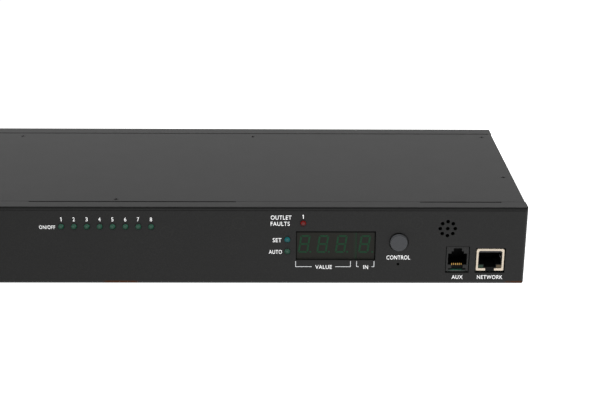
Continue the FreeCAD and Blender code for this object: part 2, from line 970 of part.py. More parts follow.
def network_insert():
    back = socket_face + network_socket_depth
    x0, x1 = network_x - insert_half, network_x + insert_half
    shell = block(x0, x1, insert_face, back, insert_low, insert_high)
    shell = top_chamfered(shell, insert_chamfer + insert_clearance)
    sill_half = network_notch_width / 2 - insert_clearance
    sill_end = socket_face + network_notch_depth - insert_clearance
    sill = block(
        network_x - sill_half, network_x + sill_half, insert_face, sill_end,
        board_top, insert_low + insert_floor,
    )
    latch = (network_latch_width, network_latch_height - insert_floor)
    rows = [latch, (network_plug_width, network_plug_height)]
    y0 = socket_face - overshoot
    cuts = stacked_cut(network_x, insert_low + insert_floor, rows, y0, socket_face + network_cavity_depth)
    return shell.fuse(sill).removeSplitter().cut(tuple(cuts + socket_lamps(insert_clearance)))


def contact_row(outline, x, count):
    """Strips of one outline in Y and Z, side by side."""
    solids = []
    for k in range(count):
        left = x + (k - (count - 1) / 2) * contact_pitch - contact_width / 2
        solids.append(prism_x(outline, left, left + contact_width))
    return solids


def hanging_outline(z):
    """A spring contact that rests under a cavity wall at height z and leans down from it."""
    y0 = socket_face + contact_setback
    y1 = y0 + 2 * contact_thickness
    y2 = y0 + contact_reach
    return [
        (y0, z),
        (y1, z),
        (y2, z - contact_drop),
        (y2, z - contact_drop - contact_thickness),
        (y1, z - contact_thickness),
        (y0, z - contact_thickness),
    ]


def hooked_outline(y, z):
    """A contact that lies on a sill with its edge at y and z, and hooks down over that edge."""
    return [
        (y - contact_thickness, z - contact_lip),
        (y - contact_thickness, z + contact_thickness),
        (y + contact_reach, z + contact_thickness),
        (y + contact_reach, z),
        (y, z),
        (y, z - contact_lip),
    ]


def socket_contacts():
    ceiling = insert_low + network_latch_height + network_plug_height
    hanging = contact_row(hanging_outline(ceiling), network_x, network_contacts)
    return hanging + contact_row(hooked_outline(sensor_sill, sensor_sill_top), sensor_x, sensor_contacts)


def board_plate(x0, x1, y0, y1, holes):
    return block(x0, x1, y0, y1, board_under, board_top).cut(tuple(holes))


def network_board():
    holes = [screw_hole_z(x, y) for x, y in network_studs()]
    return board_plate(network_board_left, network_board_right, network_board_start, network_board_end, holes)


# Outlets

def plug_outline(x, z, wide, tall, chamfer):
    """A rectangle with its two upper corners cut off."""
    left, right = x - wide / 2, x + wide / 2
    low, high = z - tall / 2, z + tall / 2
    return [
        (left, low), (right, low), (right, high - chamfer),
        (right - chamfer, high), (left + chamfer, high), (left, high - chamfer),
    ]


def pin_places(x):
    half = pin_spacing / 2
    return [(x - half, outlet_z - pin_offset), (x, outlet_z + pin_offset), (x + half, outlet_z - pin_offset)]


outlet_face = rear_face + outlet_flange_thickness
outlet_back = rear_face - outlet_depth
fork_end = outlet_face - fork_depth
pin_front = outlet_back - contact_bar_tail
pin_y = pin_front + contact_bar_width / 2


def outlet(x):
    """A housing with clips, and a contact block in two halves that close around the contacts."""
    flange = centred_block(x, outlet_z, outlet_flange_width, outlet_flange_height, rear_face, outlet_face)
    flange = rounded_along(flange, Vector(0, 1, 0), outlet_corner)
    body = centred_block(x, outlet_z, outlet_width, outlet_height, outlet_back, rear_face)
    clips = []
    for side in (-1, 1):
        edge = x + side * outlet_width / 2
        shoulder = rear_inner - outlet_fit
        outline = [
            (edge - side * overshoot, shoulder),
            (edge + side * outlet_clip, shoulder),
            (edge, shoulder - outlet_clip_length),
            (edge - side * overshoot, shoulder - outlet_clip_length),
        ]
        clips.append(prism_z(outline, outlet_z - outlet_height / 4, outlet_z + outlet_height / 4))
    housing = join([flange, body] + clips)
    y0 = outlet_face - trench_depth
    y1 = outlet_face + overshoot
    chamfer = plug_block_chamfer + (trench_height - plug_block_height) / 4
    bore = plug_outline(x, outlet_z, trench_width, trench_height, chamfer)
    base = plug_outline(x, outlet_z, trench_width - 2 * contact_fit, trench_height - 2 * contact_fit, chamfer)
    core = plug_outline(x, outlet_z, plug_block_width, plug_block_height, plug_block_chamfer)
    slots = []
    for px, pz in pin_places(x):
        slots.append(centred_block(px, pz, pin_slot_width, pin_slot_height, outlet_back, outlet_face))
    carrier = join([prism_y(base, outlet_back, y0), prism_y(core, outlet_back, outlet_face)])
    carrier = carrier.cut(tuple(slots))
    half = trench_height / 2
    halves = []
    for z in (outlet_z - half / 2, outlet_z + half / 2):
        halves.append(carrier.common(centred_block(x, z, trench_width, half, outlet_back, outlet_face)))
    return [housing.cut(prism_y(bore, outlet_back - overshoot, y1))] + halves


def outlet_contact(px, pz):
    """A fork in the pin slot, with a bar through the rear of the housing and a pin down through the board."""
    wide = pin_slot_width - 2 * contact_fit
    tall = contact_bar_height
    web = fork_end
    fork = centred_block(px, pz, wide, tall, web, outlet_face - contact_inset)
    y0 = web + 2 * contact_leaf
    room = centred_block(px, pz, wide - 2 * contact_leaf, tall + overshoot, y0, outlet_face)
    bar = centred_block(px, pz, contact_bar_width, tall, pin_front, web + contact_leaf)
    half = contact_bar_width / 2
    pin = block(px - half, px + half, pin_front, pin_front + contact_bar_width, board_under - pin_tail, pz)
    return join([fork.cut(room), bar, pin])


def outlet_contacts():
    solids = []
    for x in outlet_places:
        for px, pz in pin_places(x):
            solids.append(outlet_contact(px, pz))
    return solids


# Mains inlet and breaker

inlet_face = rear_face + inlet_flange_thickness
inlet_back = rear_face - inlet_depth
blade_root = inlet_face - inlet_cavity_depth
breaker_back = rear_inner - breaker_depth


def blade_places():
    half = blade_spacing / 2
    low = mid_height - blade_offset
    return [(inlet_x - half, low), (inlet_x, mid_height + blade_offset), (inlet_x + half, low)]


def breaker_tab_places():
    return [(breaker_x, mid_height - breaker_tab_offset), (breaker_x, mid_height + breaker_tab_offset)]


def inlet():
    wide, tall = inlet_flange_width, inlet_flange_height
    flange = centred_block(inlet_x, mid_height, wide, tall, rear_face, inlet_face)
    flange = rounded_along(flange, Vector(0, 1, 0), inlet_corner)
    body = centred_block(inlet_x, mid_height, inlet_width, inlet_height, inlet_back, rear_face)
    housing = join([flange, body])
    outline = plug_outline(inlet_x, mid_height, inlet_cavity_width, inlet_cavity_height, inlet_cavity_chamfer)
    cuts = [prism_y(outline, blade_root, inlet_face + overshoot)]
    fit = 2 * blade_fit
    for x, z in blade_places():
        slot_wide, slot_tall = blade_width + fit, blade_thickness + fit
        y0, y1 = inlet_back - overshoot, blade_root + overshoot
        cuts.append(centred_block(x, z, slot_wide, slot_tall, y0, y1))
    for x, z in inlet_screw_places():
        cuts.append(turned_to_rear(countersunk(screw_clearance), x, z))
    return housing.cut(tuple(cuts))


def mains_blades():
    """The inlet blades with their rear tabs, then the tabs of the breaker."""
    solids = []
    for x, z in blade_places():
        blade = centred_block(x, z, blade_width, blade_thickness, inlet_back, blade_root + blade_length)
        tab = centred_block(x, z, tab_width, tab_thickness, inlet_back - tab_length, inlet_back + overshoot)
        solids.append(join([blade, tab]))
    for x, z in breaker_tab_places():
        solids.append(centred_block(x, z, tab_width, tab_thickness, breaker_back - tab_length, breaker_back))
    return solids


def breaker():
    case = centred_block(breaker_x, mid_height, breaker_width, breaker_height, breaker_back, rear_inner)
    tip = rear_face + bushing_length
    bushing = rod_y(breaker_x, mid_height, bushing_diameter, rear_inner - overshoot, tip)
    room = breaker_button_seat - bushing_length + breaker_button_room
    bore = rod_y(breaker_x, mid_height, bushing_bore, rear_face - room, tip + overshoot)
    return join([case, bushing]).cut(bore)


def breaker_nut():
    reach = breaker_nut_flats / math.sqrt(3)
    corners = []
    for k in range(6):
        turn = math.pi / 3 * k
        corners.append((breaker_x + reach * math.cos(turn), mid_height + reach * math.sin(turn)))
    blank = prism_y(corners, rear_face, rear_face + breaker_nut_height)
    bore = bushing_diameter + 2 * bushing_clearance
    y0, y1 = rear_face - overshoot, rear_face + breaker_nut_height + overshoot
    return blank.cut(rod_y(breaker_x, mid_height, bore, y0, y1))


def breaker_button():
    end = rear_face + bushing_length + breaker_button_proud
    start = rear_face + bushing_length - breaker_button_seat
    cap = rod_y(breaker_x, mid_height, breaker_button_diameter, start, end)
    rim = [e for e in cap.Edges if e.CenterOfMass.y > rear_face + bushing_length and e.Closed]
    rim = [e for e in rim if e.Length > breaker_button_diameter]
    return cap.makeFillet(button_edge, rim)


# Relay board and what it carries

terminal_front = relay_board_start + terminal_from_front
terminal_places = [terminal_front, terminal_front + terminal_pitch]
transformer_x = relay_board_left + terminal_inset + terminal_width + transformer_thickness
transformer_y = relay_board_start + transformer_from_front


def relay_board():
    holes = [screw_hole_z(x, y) for x, y in relay_studs()]
    bore = contact_bar_width * math.sqrt(2) + 2 * pin_hole_clearance
    for x in outlet_places:
        for px, pz in pin_places(x):
            holes.append(rod_z(px, pin_y, bore, board_under - overshoot, board_top + overshoot))
    return board_plate(relay_board_left, relay_board_right, relay_board_start, relay_board_end, holes)


def relays():
    solids = []
    y0 = relay_board_start + relay_setback
    for x in outlet_places:
        x0, x1 = x - relay_width / 2, x + relay_width / 2
        case = block(x0, x1, y0, y0 + relay_depth, board_top, board_top + relay_height)
        solids.append(rounded_along(case, Vector(0, 0, 1), relay_edge))
    return solids


def supply_module():
    x1 = outlet_places[0] - outlet_width / 2 - outlet_clip - overshoot
    y1 = relay_board_end - supply_from_rear
    case = block(x1 - supply_width, x1, y1 - supply_depth, y1, board_top, board_top + supply_height)
    return rounded_along(case, Vector(0, 0, 1), relay_edge)


def current_transformer():
    half = transformer_thickness / 2
    z = board_top + transformer_diameter / 2
    ring = rod_x(transformer_y, z, transformer_diameter, transformer_x - half, transformer_x + half)
    side = transformer_diameter / 3
    x0, x1 = transformer_x - half, transformer_x + half
    foot = block(x0, x1, transformer_y - side, transformer_y + side, board_top, z)
    bore = rod_x(transformer_y, z, transformer_bore, x0 - overshoot, x1 + overshoot)
    return join([ring, foot]).cut(bore)


# Ribbon cables, headers and chips

lamp_ribbon_x = (lamp_places[0][0] + lamp_places[-1][0]) / 2
display_ribbon_x = (from_right(display_stud_left) + from_right(display_stud_right)) / 2
network_ribbon_x = (network_board_left + network_board_right) / 2
relay_header_y = relay_board_start + header_from_front - relay_setback / 2
network_header_y = network_board_end - header_from_front
panel_header_z = mid_height + header_rise
header_top = board_top + header_height
header_back = panel_board_rear + header_height


def path_of(points, radius):
    """Straight runs joined by tangent arcs."""
    edges = []
    start = points[0]
    for k in range(1, len(points) - 1):
        corner = points[k]
        back = points[k - 1].sub(corner)
        ahead = points[k + 1].sub(corner)
        reach = min(back.Length, ahead.Length)
        back.normalize()
        ahead.normalize()
        turn = math.pi - back.getAngle(ahead)
        bend = radius if radius else 0.45 * reach / math.tan(turn / 2)
        trim = bend * math.tan(turn / 2)
        first = corner.add(back * trim)
        last = corner.add(ahead * trim)
        inward = back.add(ahead)
        inward.normalize()
        middle = corner.add(inward * (bend / math.cos(turn / 2) - bend))
        edges.append(Part.makeLine(start, first))
        edges.append(Part.Arc(first, middle, last).toShape())
        start = last
    edges.append(Part.makeLine(start, points[-1]))
    return Part.Wire(edges)


def swept(profile, path):
    return path.makePipeShell([profile], True, False)


def ribbon(x, outline):
    """A flat cable along (y, z) points at one place across the unit."""
    points = [Vector(x, y, z) for y, z in outline]
    start = points[0]
    along = points[1].sub(start).normalize()
    across = Vector(ribbon_width / 2, 0, 0)
    through = along.cross(Vector(1, 0, 0)) * (ribbon_thickness / 2)
    left, right = start - across, start + across
    corners = [left - through, right - through, right + through, left + through]
    return swept(Part.makePolygon(corners + [corners[0]]), path_of(points, ribbon_bend))


def ribbons():
    relay_end = (relay_header_y, header_top)
    panel_run = [(header_back, panel_header_z), (relay_header_y, panel_header_z), relay_end]
    arch = header_top + ribbon_arch
    network_start = (network_header_y, header_top)
    network_run = [network_start, (network_header_y, arch), (relay_header_y, arch), relay_end]
    return [
        ribbon(lamp_ribbon_x, panel_run),
        ribbon(display_ribbon_x, panel_run),
        ribbon(network_ribbon_x, network_run),
    ]


def flat_header(x, y):
    half = header_width / 2
    thick = header_thickness / 2
    return block(x - half, x + half, y - thick, y + thick, board_top, header_top)


def headers():
    solids = [flat_header(x, relay_header_y) for x in (lamp_ribbon_x, display_ribbon_x, network_ribbon_x)]
    solids.append(flat_header(network_ribbon_x, network_header_y))
    for x in (lamp_ribbon_x, display_ribbon_x):
        wide, tall = header_width, header_thickness
        solids.append(centred_block(x, panel_header_z, wide, tall, panel_board_rear, header_back))
    return solids


def chips():
    """A controller on the network board and a driver on the rear of the display board."""
    half = chip_size / 2
    y = (socket_face + network_socket_depth + network_header_y - header_thickness / 2) / 2
    x = network_ribbon_x
    controller = block(x - half, x + half, y - half, y + half, board_top, board_top + chip_height)
    z = mid_height - header_rise / 2
    y0, y1 = panel_board_rear, panel_board_rear + chip_height
    driver = centred_block(display_ribbon_x, z, chip_size, chip_size / 2, y0, y1)
    return [controller, driver]


# Mains wires and their terminals

sleeve_back = inlet_back - tab_length + sleeve_overlap
inlet_wire_y = sleeve_back - sleeve_length
breaker_sleeve_back = breaker_back - tab_length + sleeve_overlap
breaker_wire_y = breaker_sleeve_back - sleeve_length
terminal_x = relay_board_left + terminal_inset
terminal_z = board_top + terminal_height / 2
earth_stud_y = inlet_back - earth_stud_from_inlet
lug_z = sheet + lug_thickness + wire_diameter / 2


def sleeve(x, z, back, tab_end):
    shell = centred_block(x, z, sleeve_width, sleeve_thickness, back - sleeve_length, back)
    fit = 2 * sleeve_fit
    y0, y1 = tab_end - sleeve_fit, back + overshoot
    return shell.cut(centred_block(x, z, tab_width + fit, tab_thickness + fit, y0, y1))


def lug():
    y = earth_stud_y
    half = tab_width / 2
    plate = join([
        rod_z(inlet_x, y, lug_diameter, sheet, sheet + lug_thickness),
        block(inlet_x - half, inlet_x + half, y, y + lug_shank, sheet, sheet + lug_thickness),
    ])
    barrel = block(
        inlet_x - half, inlet_x + half, y + lug_diameter / 2 + overshoot, y + lug_shank,
        sheet + lug_thickness / 2, lug_z + wire_diameter / 2,
    )
    bore = earth_stud_diameter + 2 * screw_clearance
    return join([plate, barrel]).cut(rod_z(inlet_x, y, bore, 0, lug_z + lug_thickness))


def wire_terminals():
    inlet_tab_end = inlet_back - tab_length
    breaker_tab_end = breaker_back - tab_length
    solids = [sleeve(x, z, sleeve_back, inlet_tab_end) for x, z in blade_places()]
    solids += [sleeve(x, z, breaker_sleeve_back, breaker_tab_end) for x, z in breaker_tab_places()]
    half = terminal_depth / 2
    for y in terminal_places:
        x0, x1 = terminal_x, terminal_x + terminal_width
        solids.append(block(x0, x1, y - half, y + half, board_top, board_top + terminal_height))
    solids.append(lug())
    return solids


def wire(points):
    start = points[0]
    along = points[1].sub(start)
    profile = Part.Wire(Part.makeCircle(wire_diameter / 2, start, along))
    return swept(profile, path_of(points, 0))


def live_wires():
    """From the inlet to the breaker, then from the breaker to the board."""
    blade = blade_places()[2]
    low, high = breaker_tab_places()
    turn_y = inlet_wire_y - live_loop
    feed = wire([
        Vector(blade[0], inlet_wire_y, blade[1]),
        Vector(blade[0], turn_y, blade[1]),
        Vector(low[0], turn_y, low[1]),
        Vector(low[0], breaker_wire_y, low[1]),
    ])
    live_y = terminal_places[1]
    onward = wire([
        Vector(high[0], breaker_wire_y, high[1]),
        Vector(high[0], live_y, high[1]),
        Vector(high[0] + live_slope, live_y, terminal_z),
        Vector(terminal_x, live_y, terminal_z),
    ])
    return [feed, onward]


def neutral_wire():
    blade = blade_places()[0]
    neutral_y = terminal_places[0]
    return wire([
        Vector(blade[0], inlet_wire_y, blade[1]),
        Vector(blade[0], neutral_y, blade[1]),
        Vector(breaker_x, neutral_y, terminal_z),
        Vector(terminal_x, neutral_y, terminal_z),
    ])


def earth_wire():
    blade = blade_places()[1]
    end = earth_stud_y + lug_shank
    return wire([
        Vector(blade[0], inlet_wire_y, blade[1]),
        Vector(blade[0], end + earth_lead + earth_slope, blade[1]),
        Vector(blade[0], end + earth_lead, lug_z),
        Vector(blade[0], end, lug_z),
    ])


os.makedirs("parts", exist_ok=True)
save("chassis_tray", tray())
save("top_cover", lid())
save("countersunk_screws", screws())
save("base_standoffs", base_standoffs())
save("panel_studs", panel_studs())
save("board_screws", board_screws())
save("lamp_board", lamp_board())
for number, place in enumerate(lamp_places, 1):
    save("outlet_lamp_" + str(number), lamp(place[0], place[1]))
save("circuit_lamp", lamp(circuit_lamp_place[0], circuit_lamp_place[1]))
for number, place in enumerate(status_lamp_places, 1):
    save("status_lamp_" + str(number), lamp(place[0], place[1]))
save("lamp_leads", lamp_leads())
save("display_board", display_board())
save("meter_display", meter_display())
save("unit_display", unit_display())
save("digit_segments", meter_segments() + unit_segments())
save("function_button", function_button())
save("function_switch", switch_body(button_z, switch_size, switch_face, plunger_diameter, button_travel))
save("function_plunger", switch_plunger(button_z, switch_face, plunger_diameter))
reset_body = switch_body(reset_z, reset_switch_size, reset_face, reset_plunger_diameter, reset_travel)
save("reset_switch", reset_body)
save("reset_plunger", switch_plunger(reset_z, reset_face, reset_plunger_diameter))
save("buzzer", buzzer())
save("network_board", network_board())
save("network_socket_shield", network_shield())
save("network_socket_insert", network_insert())
save("network_socket_lamps", socket_lamps(0))
save("sensor_socket", sensor_socket())
save("socket_contacts", socket_contacts())
save("board_chips", chips())
save("ribbon_cables", ribbons())
save("ribbon_headers", headers())
for number, place in enumerate(outlet_places, 1):
    save("outlet_" + str(number), outlet(place))
save("outlet_contacts", outlet_contacts())
save("power_inlet", inlet())
save("mains_blades", mains_blades())
save("circuit_breaker", breaker())
save("breaker_button", breaker_button())
save("breaker_nut", breaker_nut())
save("relay_board", relay_board())
save("relays", relays())
save("supply_module", supply_module())
save("current_transformer", current_transformer())
save("wire_terminals", wire_terminals())
save("live_wires", live_wires())
save("neutral_wire", neutral_wire())
save("earth_wire", earth_wire())
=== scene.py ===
# Finishes, printed legends, socket detail and a studio stage for a packed rack power unit, in metres
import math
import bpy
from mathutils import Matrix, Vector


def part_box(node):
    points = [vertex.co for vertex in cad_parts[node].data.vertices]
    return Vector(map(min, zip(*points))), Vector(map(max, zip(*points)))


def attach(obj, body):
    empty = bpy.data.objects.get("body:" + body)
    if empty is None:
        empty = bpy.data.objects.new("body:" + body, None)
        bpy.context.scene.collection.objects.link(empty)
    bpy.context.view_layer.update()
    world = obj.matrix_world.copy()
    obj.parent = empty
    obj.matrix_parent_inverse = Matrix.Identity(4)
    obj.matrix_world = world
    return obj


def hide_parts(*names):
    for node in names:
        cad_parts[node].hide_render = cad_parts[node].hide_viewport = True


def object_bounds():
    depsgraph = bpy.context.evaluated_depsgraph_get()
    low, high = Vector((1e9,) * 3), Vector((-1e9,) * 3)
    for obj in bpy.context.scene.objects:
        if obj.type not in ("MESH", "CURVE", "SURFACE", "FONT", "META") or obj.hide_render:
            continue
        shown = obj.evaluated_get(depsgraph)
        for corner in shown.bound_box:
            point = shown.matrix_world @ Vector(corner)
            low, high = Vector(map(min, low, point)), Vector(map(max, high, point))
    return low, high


bl_info = {
    "name": "Rack power unit",
    "version": (1, 0, 0),
    "blender": (4, 5, 0),
    "location": "3D View > Sidebar > Rack unit",
    "description": "Finishes, legends, socket detail and stage for a rack power unit",
    "category": "Object",
}

from collections import namedtuple
from functools import reduce

import bmesh
import bpy
from mathutils import Matrix, Vector

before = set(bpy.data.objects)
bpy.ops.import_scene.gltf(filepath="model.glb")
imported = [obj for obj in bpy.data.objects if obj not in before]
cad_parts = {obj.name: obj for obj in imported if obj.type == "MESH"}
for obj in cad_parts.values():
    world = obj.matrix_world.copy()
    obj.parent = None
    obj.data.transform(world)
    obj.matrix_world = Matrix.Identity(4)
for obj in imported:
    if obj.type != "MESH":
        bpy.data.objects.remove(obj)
cad_low, cad_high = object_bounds()

MM = 0.001
ENCLOSURE = "enclosure"
ALONG = 0.9
ACROSS = 0.1
SAME_PLACE = 0.01 * MM

tray_low, tray_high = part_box("chassis_tray")
FRONT = tray_low.y
REAR = tray_high.y


# Settings that a user would change

def length(name, description, default):
    return bpy.props.FloatProperty(
        name=name, description=description, default=default, unit="LENGTH", precision=5
    )


def colour(name, description, default):
    return bpy.props.FloatVectorProperty(
        name=name, description=description, default=default, subtype="COLOR", size=3, min=0.0, max=1.0
    )


def share(name, description, default):
    return bpy.props.FloatProperty(
        name=name, description=description, default=default, subtype="FACTOR", min=0.0, max=1.0
    )


def amount(name, description, default):
    return bpy.props.FloatProperty(name=name, description=description, default=default, min=0.0)


def angle(name, description, default):
    return bpy.props.FloatProperty(
        name=name, description=description, default=math.radians(default), subtype="ANGLE"
    )


class RackCaseSettings(bpy.types.PropertyGroup):
    paint: colour("Paint", "Powder coat of the tray and lid", (0.0060, 0.0060, 0.0059))
    speck: colour("Speck", "Lighter specks in the powder coat", (0.0105, 0.0105, 0.0102))
    grain: length("Grain", "Size of the specks in the powder coat", 0.55 * MM)
    gloss: share("Roughness", "Roughness of the powder coat", 0.46)
    rust: colour("Rust", "Rust where the lower front edge is worn", (0.041, 0.011, 0.001))
    # Painted shade: the dark tone laid along the front folds
    rubbed: colour("Rubbed", "Coat rubbed thin along the front folds", (0.0012, 0.0012, 0.0011))


class RackLampSettings(bpy.types.PropertyGroup):
    green: colour("Green", "Resin of the outlet lamps", (0.003, 0.044, 0.023))
    red: colour("Red", "Resin of the circuit lamp", (0.076, 0.0040, 0.0036))
    teal: colour("Teal", "Resin of the upper status lamp", (0.002, 0.075, 0.081))
    dull_green: colour("Dull green", "Resin of the lower status lamp", (0.006, 0.046, 0.026))
    # Painted light: paler tones for the lit upper sides of the lamps
    green_top: colour("Green top", "Upper side of the outlet lamps", (0.056, 0.165, 0.112))
    red_top: colour("Red top", "Upper side of the circuit lamp", (0.290, 0.012, 0.010))
    teal_top: colour("Teal top", "Upper side of the upper status lamp", (0.009, 0.210, 0.222))
    dull_green_top: colour("Dull green top", "Upper side of the lower status lamp", (0.062, 0.155, 0.110))


class RackDisplaySettings(bpy.types.PropertyGroup):
    face: colour("Face", "Smoked face of the numeric displays", (0.0060, 0.0061, 0.0037))
    gasket: length("Gasket", "Thickness of the soft frame round the displays", 0.08 * MM)
    segment: colour("Segment", "Unlit segments of the numerals", (0.002, 0.030, 0.011))


class RackLegendSettings(bpy.types.PropertyGroup):
    ink: colour("Ink", "Printed legends", (0.93, 0.93, 0.93))
    raised: length("Raised", "Thickness of the print", 0.04 * MM)
    line_ink: colour("Line ink", "Printed lines", (0.62, 0.63, 0.64))
    line: length("Line", "Width of the printed lines", 0.32 * MM)
    bend: length("Bend", "Outer radius of the bent lines", 0.6 * MM)
    spacing: amount("Spacing", "Pitch of the letters, as a share of the usual pitch", 1.1)
    bold: length("Bold", "How far strokes are thickened, for letters one metre high", 0.008)


class RackSocketSettings(bpy.types.PropertyGroup):
    metal: colour("Shield", "Plated shield of the network socket", (0.54, 0.47, 0.38))
    corner: length("Corner", "Radius of the shield's upper corners", 1.3 * MM)
    foot: length("Foot", "Radius of the shield's lower corners", 0.9 * MM)
    wall: length("Wall", "Width of the shield's face around the opening", 1.3 * MM)
    floor: length("Floor", "Width of the shield's face below the opening", 1.65 * MM)
    chamfer: length("Chamfer", "Cut corners at the top of the shield's opening", 1.0 * MM)
    rim: length("Rim", "Rounding of the shield's face", 0.4 * MM)
    leaf: length("Leaf", "Thickness of the contact leaves on the shield", 0.2 * MM)


class RackStageSettings(bpy.types.PropertyGroup):
    place: bpy.props.FloatVectorProperty(
        name="Camera", description="Place of the camera", subtype="XYZ", unit="LENGTH", size=3,
        default=(0.08918, -0.68615, 0.28250),
    )
    pitch: angle("Pitch", "Camera's angle below level", 20.784)
    yaw: angle("Yaw", "Camera's turn to the right", 0.877)
    roll: angle("Roll", "Camera's turn about its own axis", -0.4195)
    lens: bpy.props.FloatProperty(
        name="Lens", description="Focal length on a 36 mm sensor", default=75.06, subtype="DISTANCE_CAMERA"
    )
    floor_size: length("Floor", "Side of the square floor", 16.0)
    floor_glow: amount("Floor glow", "Light that the floor gives off on the left", 0.80)
    floor_gain: amount("Floor gain", "How much more light the floor gives off on the right", 0.63)
    horizon: amount("Horizon", "Brightness of the surroundings behind, near the floor", 1.18)
    front_share: share("Front share", "Share of that brightness in front", 0.40)
    zenith: amount("Zenith", "Brightness of the surroundings overhead", 0.28)
    softbox: amount("Softbox", "Power of the light in front, in watts", 12.0)
    softbox_rise: angle("Softbox rise", "Height of the light in front, as an angle", 43.0)
    softbox_away: length("Softbox distance", "Distance of the light in front", 1.7)


# Selecting and shaping

def clear_selection():
    if bpy.context.object and bpy.context.object.mode != "OBJECT":
        bpy.ops.object.mode_set(mode="OBJECT")
    bpy.ops.object.select_all(action="DESELECT")


def take(piece):
    """Makes the piece the only selected and the active object."""
    clear_selection()
    piece.select_set(True)
    bpy.context.view_layer.objects.active = piece


def settle(piece):
    """Puts the piece's place, turn and scale into its mesh."""
    take(piece)
    bpy.ops.object.transform_apply(location=True, rotation=True, scale=True)


def start_box(name, low, high):
    clear_selection()
    low, high = Vector(low), Vector(high)
    bpy.ops.mesh.primitive_cube_add(size=1.0, location=(low + high) / 2)
    piece = bpy.context.object
    piece.name = name
    piece.scale = high - low
    settle(piece)
    return piece


def start_edit(piece):
    take(piece)
    bpy.ops.object.mode_set(mode="EDIT")


def end_edit():
    bpy.ops.object.mode_set(mode="OBJECT")


def pick_faces(test):
    """Selects the faces of the mesh in edit mode whose middle and normal pass the test."""
    bpy.ops.mesh.select_mode(type="FACE")
    bpy.ops.mesh.select_all(action="DESELECT")
    mesh = bmesh.from_edit_mesh(bpy.context.object.data)
    for face in mesh.faces:
        face.select_set(bool(test(face.calc_center_median(), face.normal)))
    bmesh.update_edit_mesh(bpy.context.object.data)


def pick_edges(test):
    """Selects the edges whose middle and direction pass the test."""
    bpy.ops.mesh.select_mode(type="EDGE")
    bpy.ops.mesh.select_all(action="DESELECT")
    mesh = bmesh.from_edit_mesh(bpy.context.object.data)
    for edge in mesh.edges:
        first, last = edge.verts[0].co, edge.verts[1].co
        edge.select_set(bool(test((first + last) / 2, (last - first).normalized())))
    bmesh.update_edit_mesh(bpy.context.object.data)


def pick_creases(test, limit=60.0):
    """Selects the edges between faces that meet at more than the limit and whose middle passes the test."""
    bpy.ops.mesh.select_mode(type="EDGE")
    bpy.ops.mesh.select_all(action="DESELECT")
    mesh = bmesh.from_edit_mesh(bpy.context.object.data)
    for edge in mesh.edges:
        sharp = edge.calc_face_angle(0.0) > math.radians(limit)
        edge.select_set(bool(sharp and test((edge.verts[0].co + edge.verts[1].co) / 2)))
    bmesh.update_edit_mesh(bpy.context.object.data)


def extrude(offset):
    bpy.ops.mesh.extrude_region_move(TRANSFORM_OT_translate={"value": tuple(offset)})


def move(offset):
    bpy.ops.transform.translate(value=tuple(offset))


def rounded(radius, segments):
    bpy.ops.mesh.bevel(offset=radius, offset_type="OFFSET", segments=segments, profile=0.5, affect="EDGES")


def cut_away(piece, cutter):
    """Cuts one piece out of another and drops the cutter."""
    take(piece)
    cut = piece.modifiers.new("cut", "BOOLEAN")
    cut.operation = "DIFFERENCE"
    cut.solver = "EXACT"
    cut.object = cutter
    bpy.ops.object.modifier_apply(modifier=cut.name)
    take(cutter)
    bpy.ops.object.delete()


def soft_edges(piece, width, segments=2, limit=35.0):
    take(piece)
    bevel = piece.modifiers.new("edge", "BEVEL")
    bevel.width = width
    bevel.segments = segments
    bevel.limit_method = "ANGLE"
    bevel.angle_limit = math.radians(limit)
    bpy.ops.object.modifier_apply(modifier=bevel.name)


def joined(name, pieces):
    take(pieces[0])
    for piece in pieces:
        piece.select_set(True)
    bpy.ops.object.join()
    whole = bpy.context.object
    whole.name = name
    whole.data.name = name
    return whole


def done(piece, finish, body=ENCLOSURE, smooth=35.0):
    """Gives a finished piece its shading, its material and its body."""
    take(piece)
    bpy.ops.object.shade_smooth_by_angle(angle=math.radians(smooth))
    piece.data.materials.clear()
    piece.data.materials.append(finish)
    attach(piece, body)
    clear_selection()
    return piece


# Materials

def add(tree, kind, inputs=None, **settings):
    """Adds a node. Inputs are sockets to link or plain values."""
    made = tree.nodes.new(kind)
    for key, value in settings.items():
        setattr(made, key, value)
    for key, value in (inputs or {}).items():
        if isinstance(value, bpy.types.NodeSocket):
            tree.links.new(value, made.inputs[key])
        else:
            made.inputs[key].default_value = value
    return made


def sums(tree, operation, first, second=0.0, third=0.0):
    return add(tree, "ShaderNodeMath", {0: first, 1: second, 2: third}, operation=operation).outputs[0]


def ranged(tree, value, low, high, to_low=0.0, to_high=1.0):
    inputs = {"Value": value, "From Min": low, "From Max": high, "To Min": to_low, "To Max": to_high}
    return add(tree, "ShaderNodeMapRange", inputs, interpolation_type="SMOOTHSTEP").outputs["Result"]


def blended(tree, factor, first, second):
    return add(tree, "ShaderNodeMix", {0: factor, 6: first, 7: second}, data_type="RGBA").outputs[2]


def rgba(value):
    return (*value, 1.0)


def new_group(name, inputs, outputs):
    group = bpy.data.node_groups.new(name, "ShaderNodeTree")
    for label, kind, value in inputs:
        group.interface.new_socket(label, in_out="INPUT", socket_type=kind).default_value = value
    for label, kind in outputs:
        group.interface.new_socket(label, in_out="OUTPUT", socket_type=kind)
    return group, group.nodes.new("NodeGroupInput").outputs, group.nodes.new("NodeGroupOutput").inputs


def spanned(tree, value, span, origin=0.0):
    """A ramp between two places, which the span gives in millimetres from the origin."""
    return ranged(tree, value, origin + span[0] * MM, origin + span[1] * MM)


def band(tree, value, low, high, fades):
    """A mask between two places in millimetres, with a fade inside each."""
    foot = spanned(tree, value, (low, low + fades[0]))
    return product(tree, foot, spanned(tree, value, (high, high - fades[1])))


def product(tree, *masks):
    return reduce(lambda first, second: sums(tree, "MULTIPLY", first, second), masks)


def total(tree, masks):
    return reduce(lambda first, second: sums(tree, "ADD", first, second), masks)


def place(tree):
    return add(tree, "ShaderNodeTexCoord").outputs["Object"]


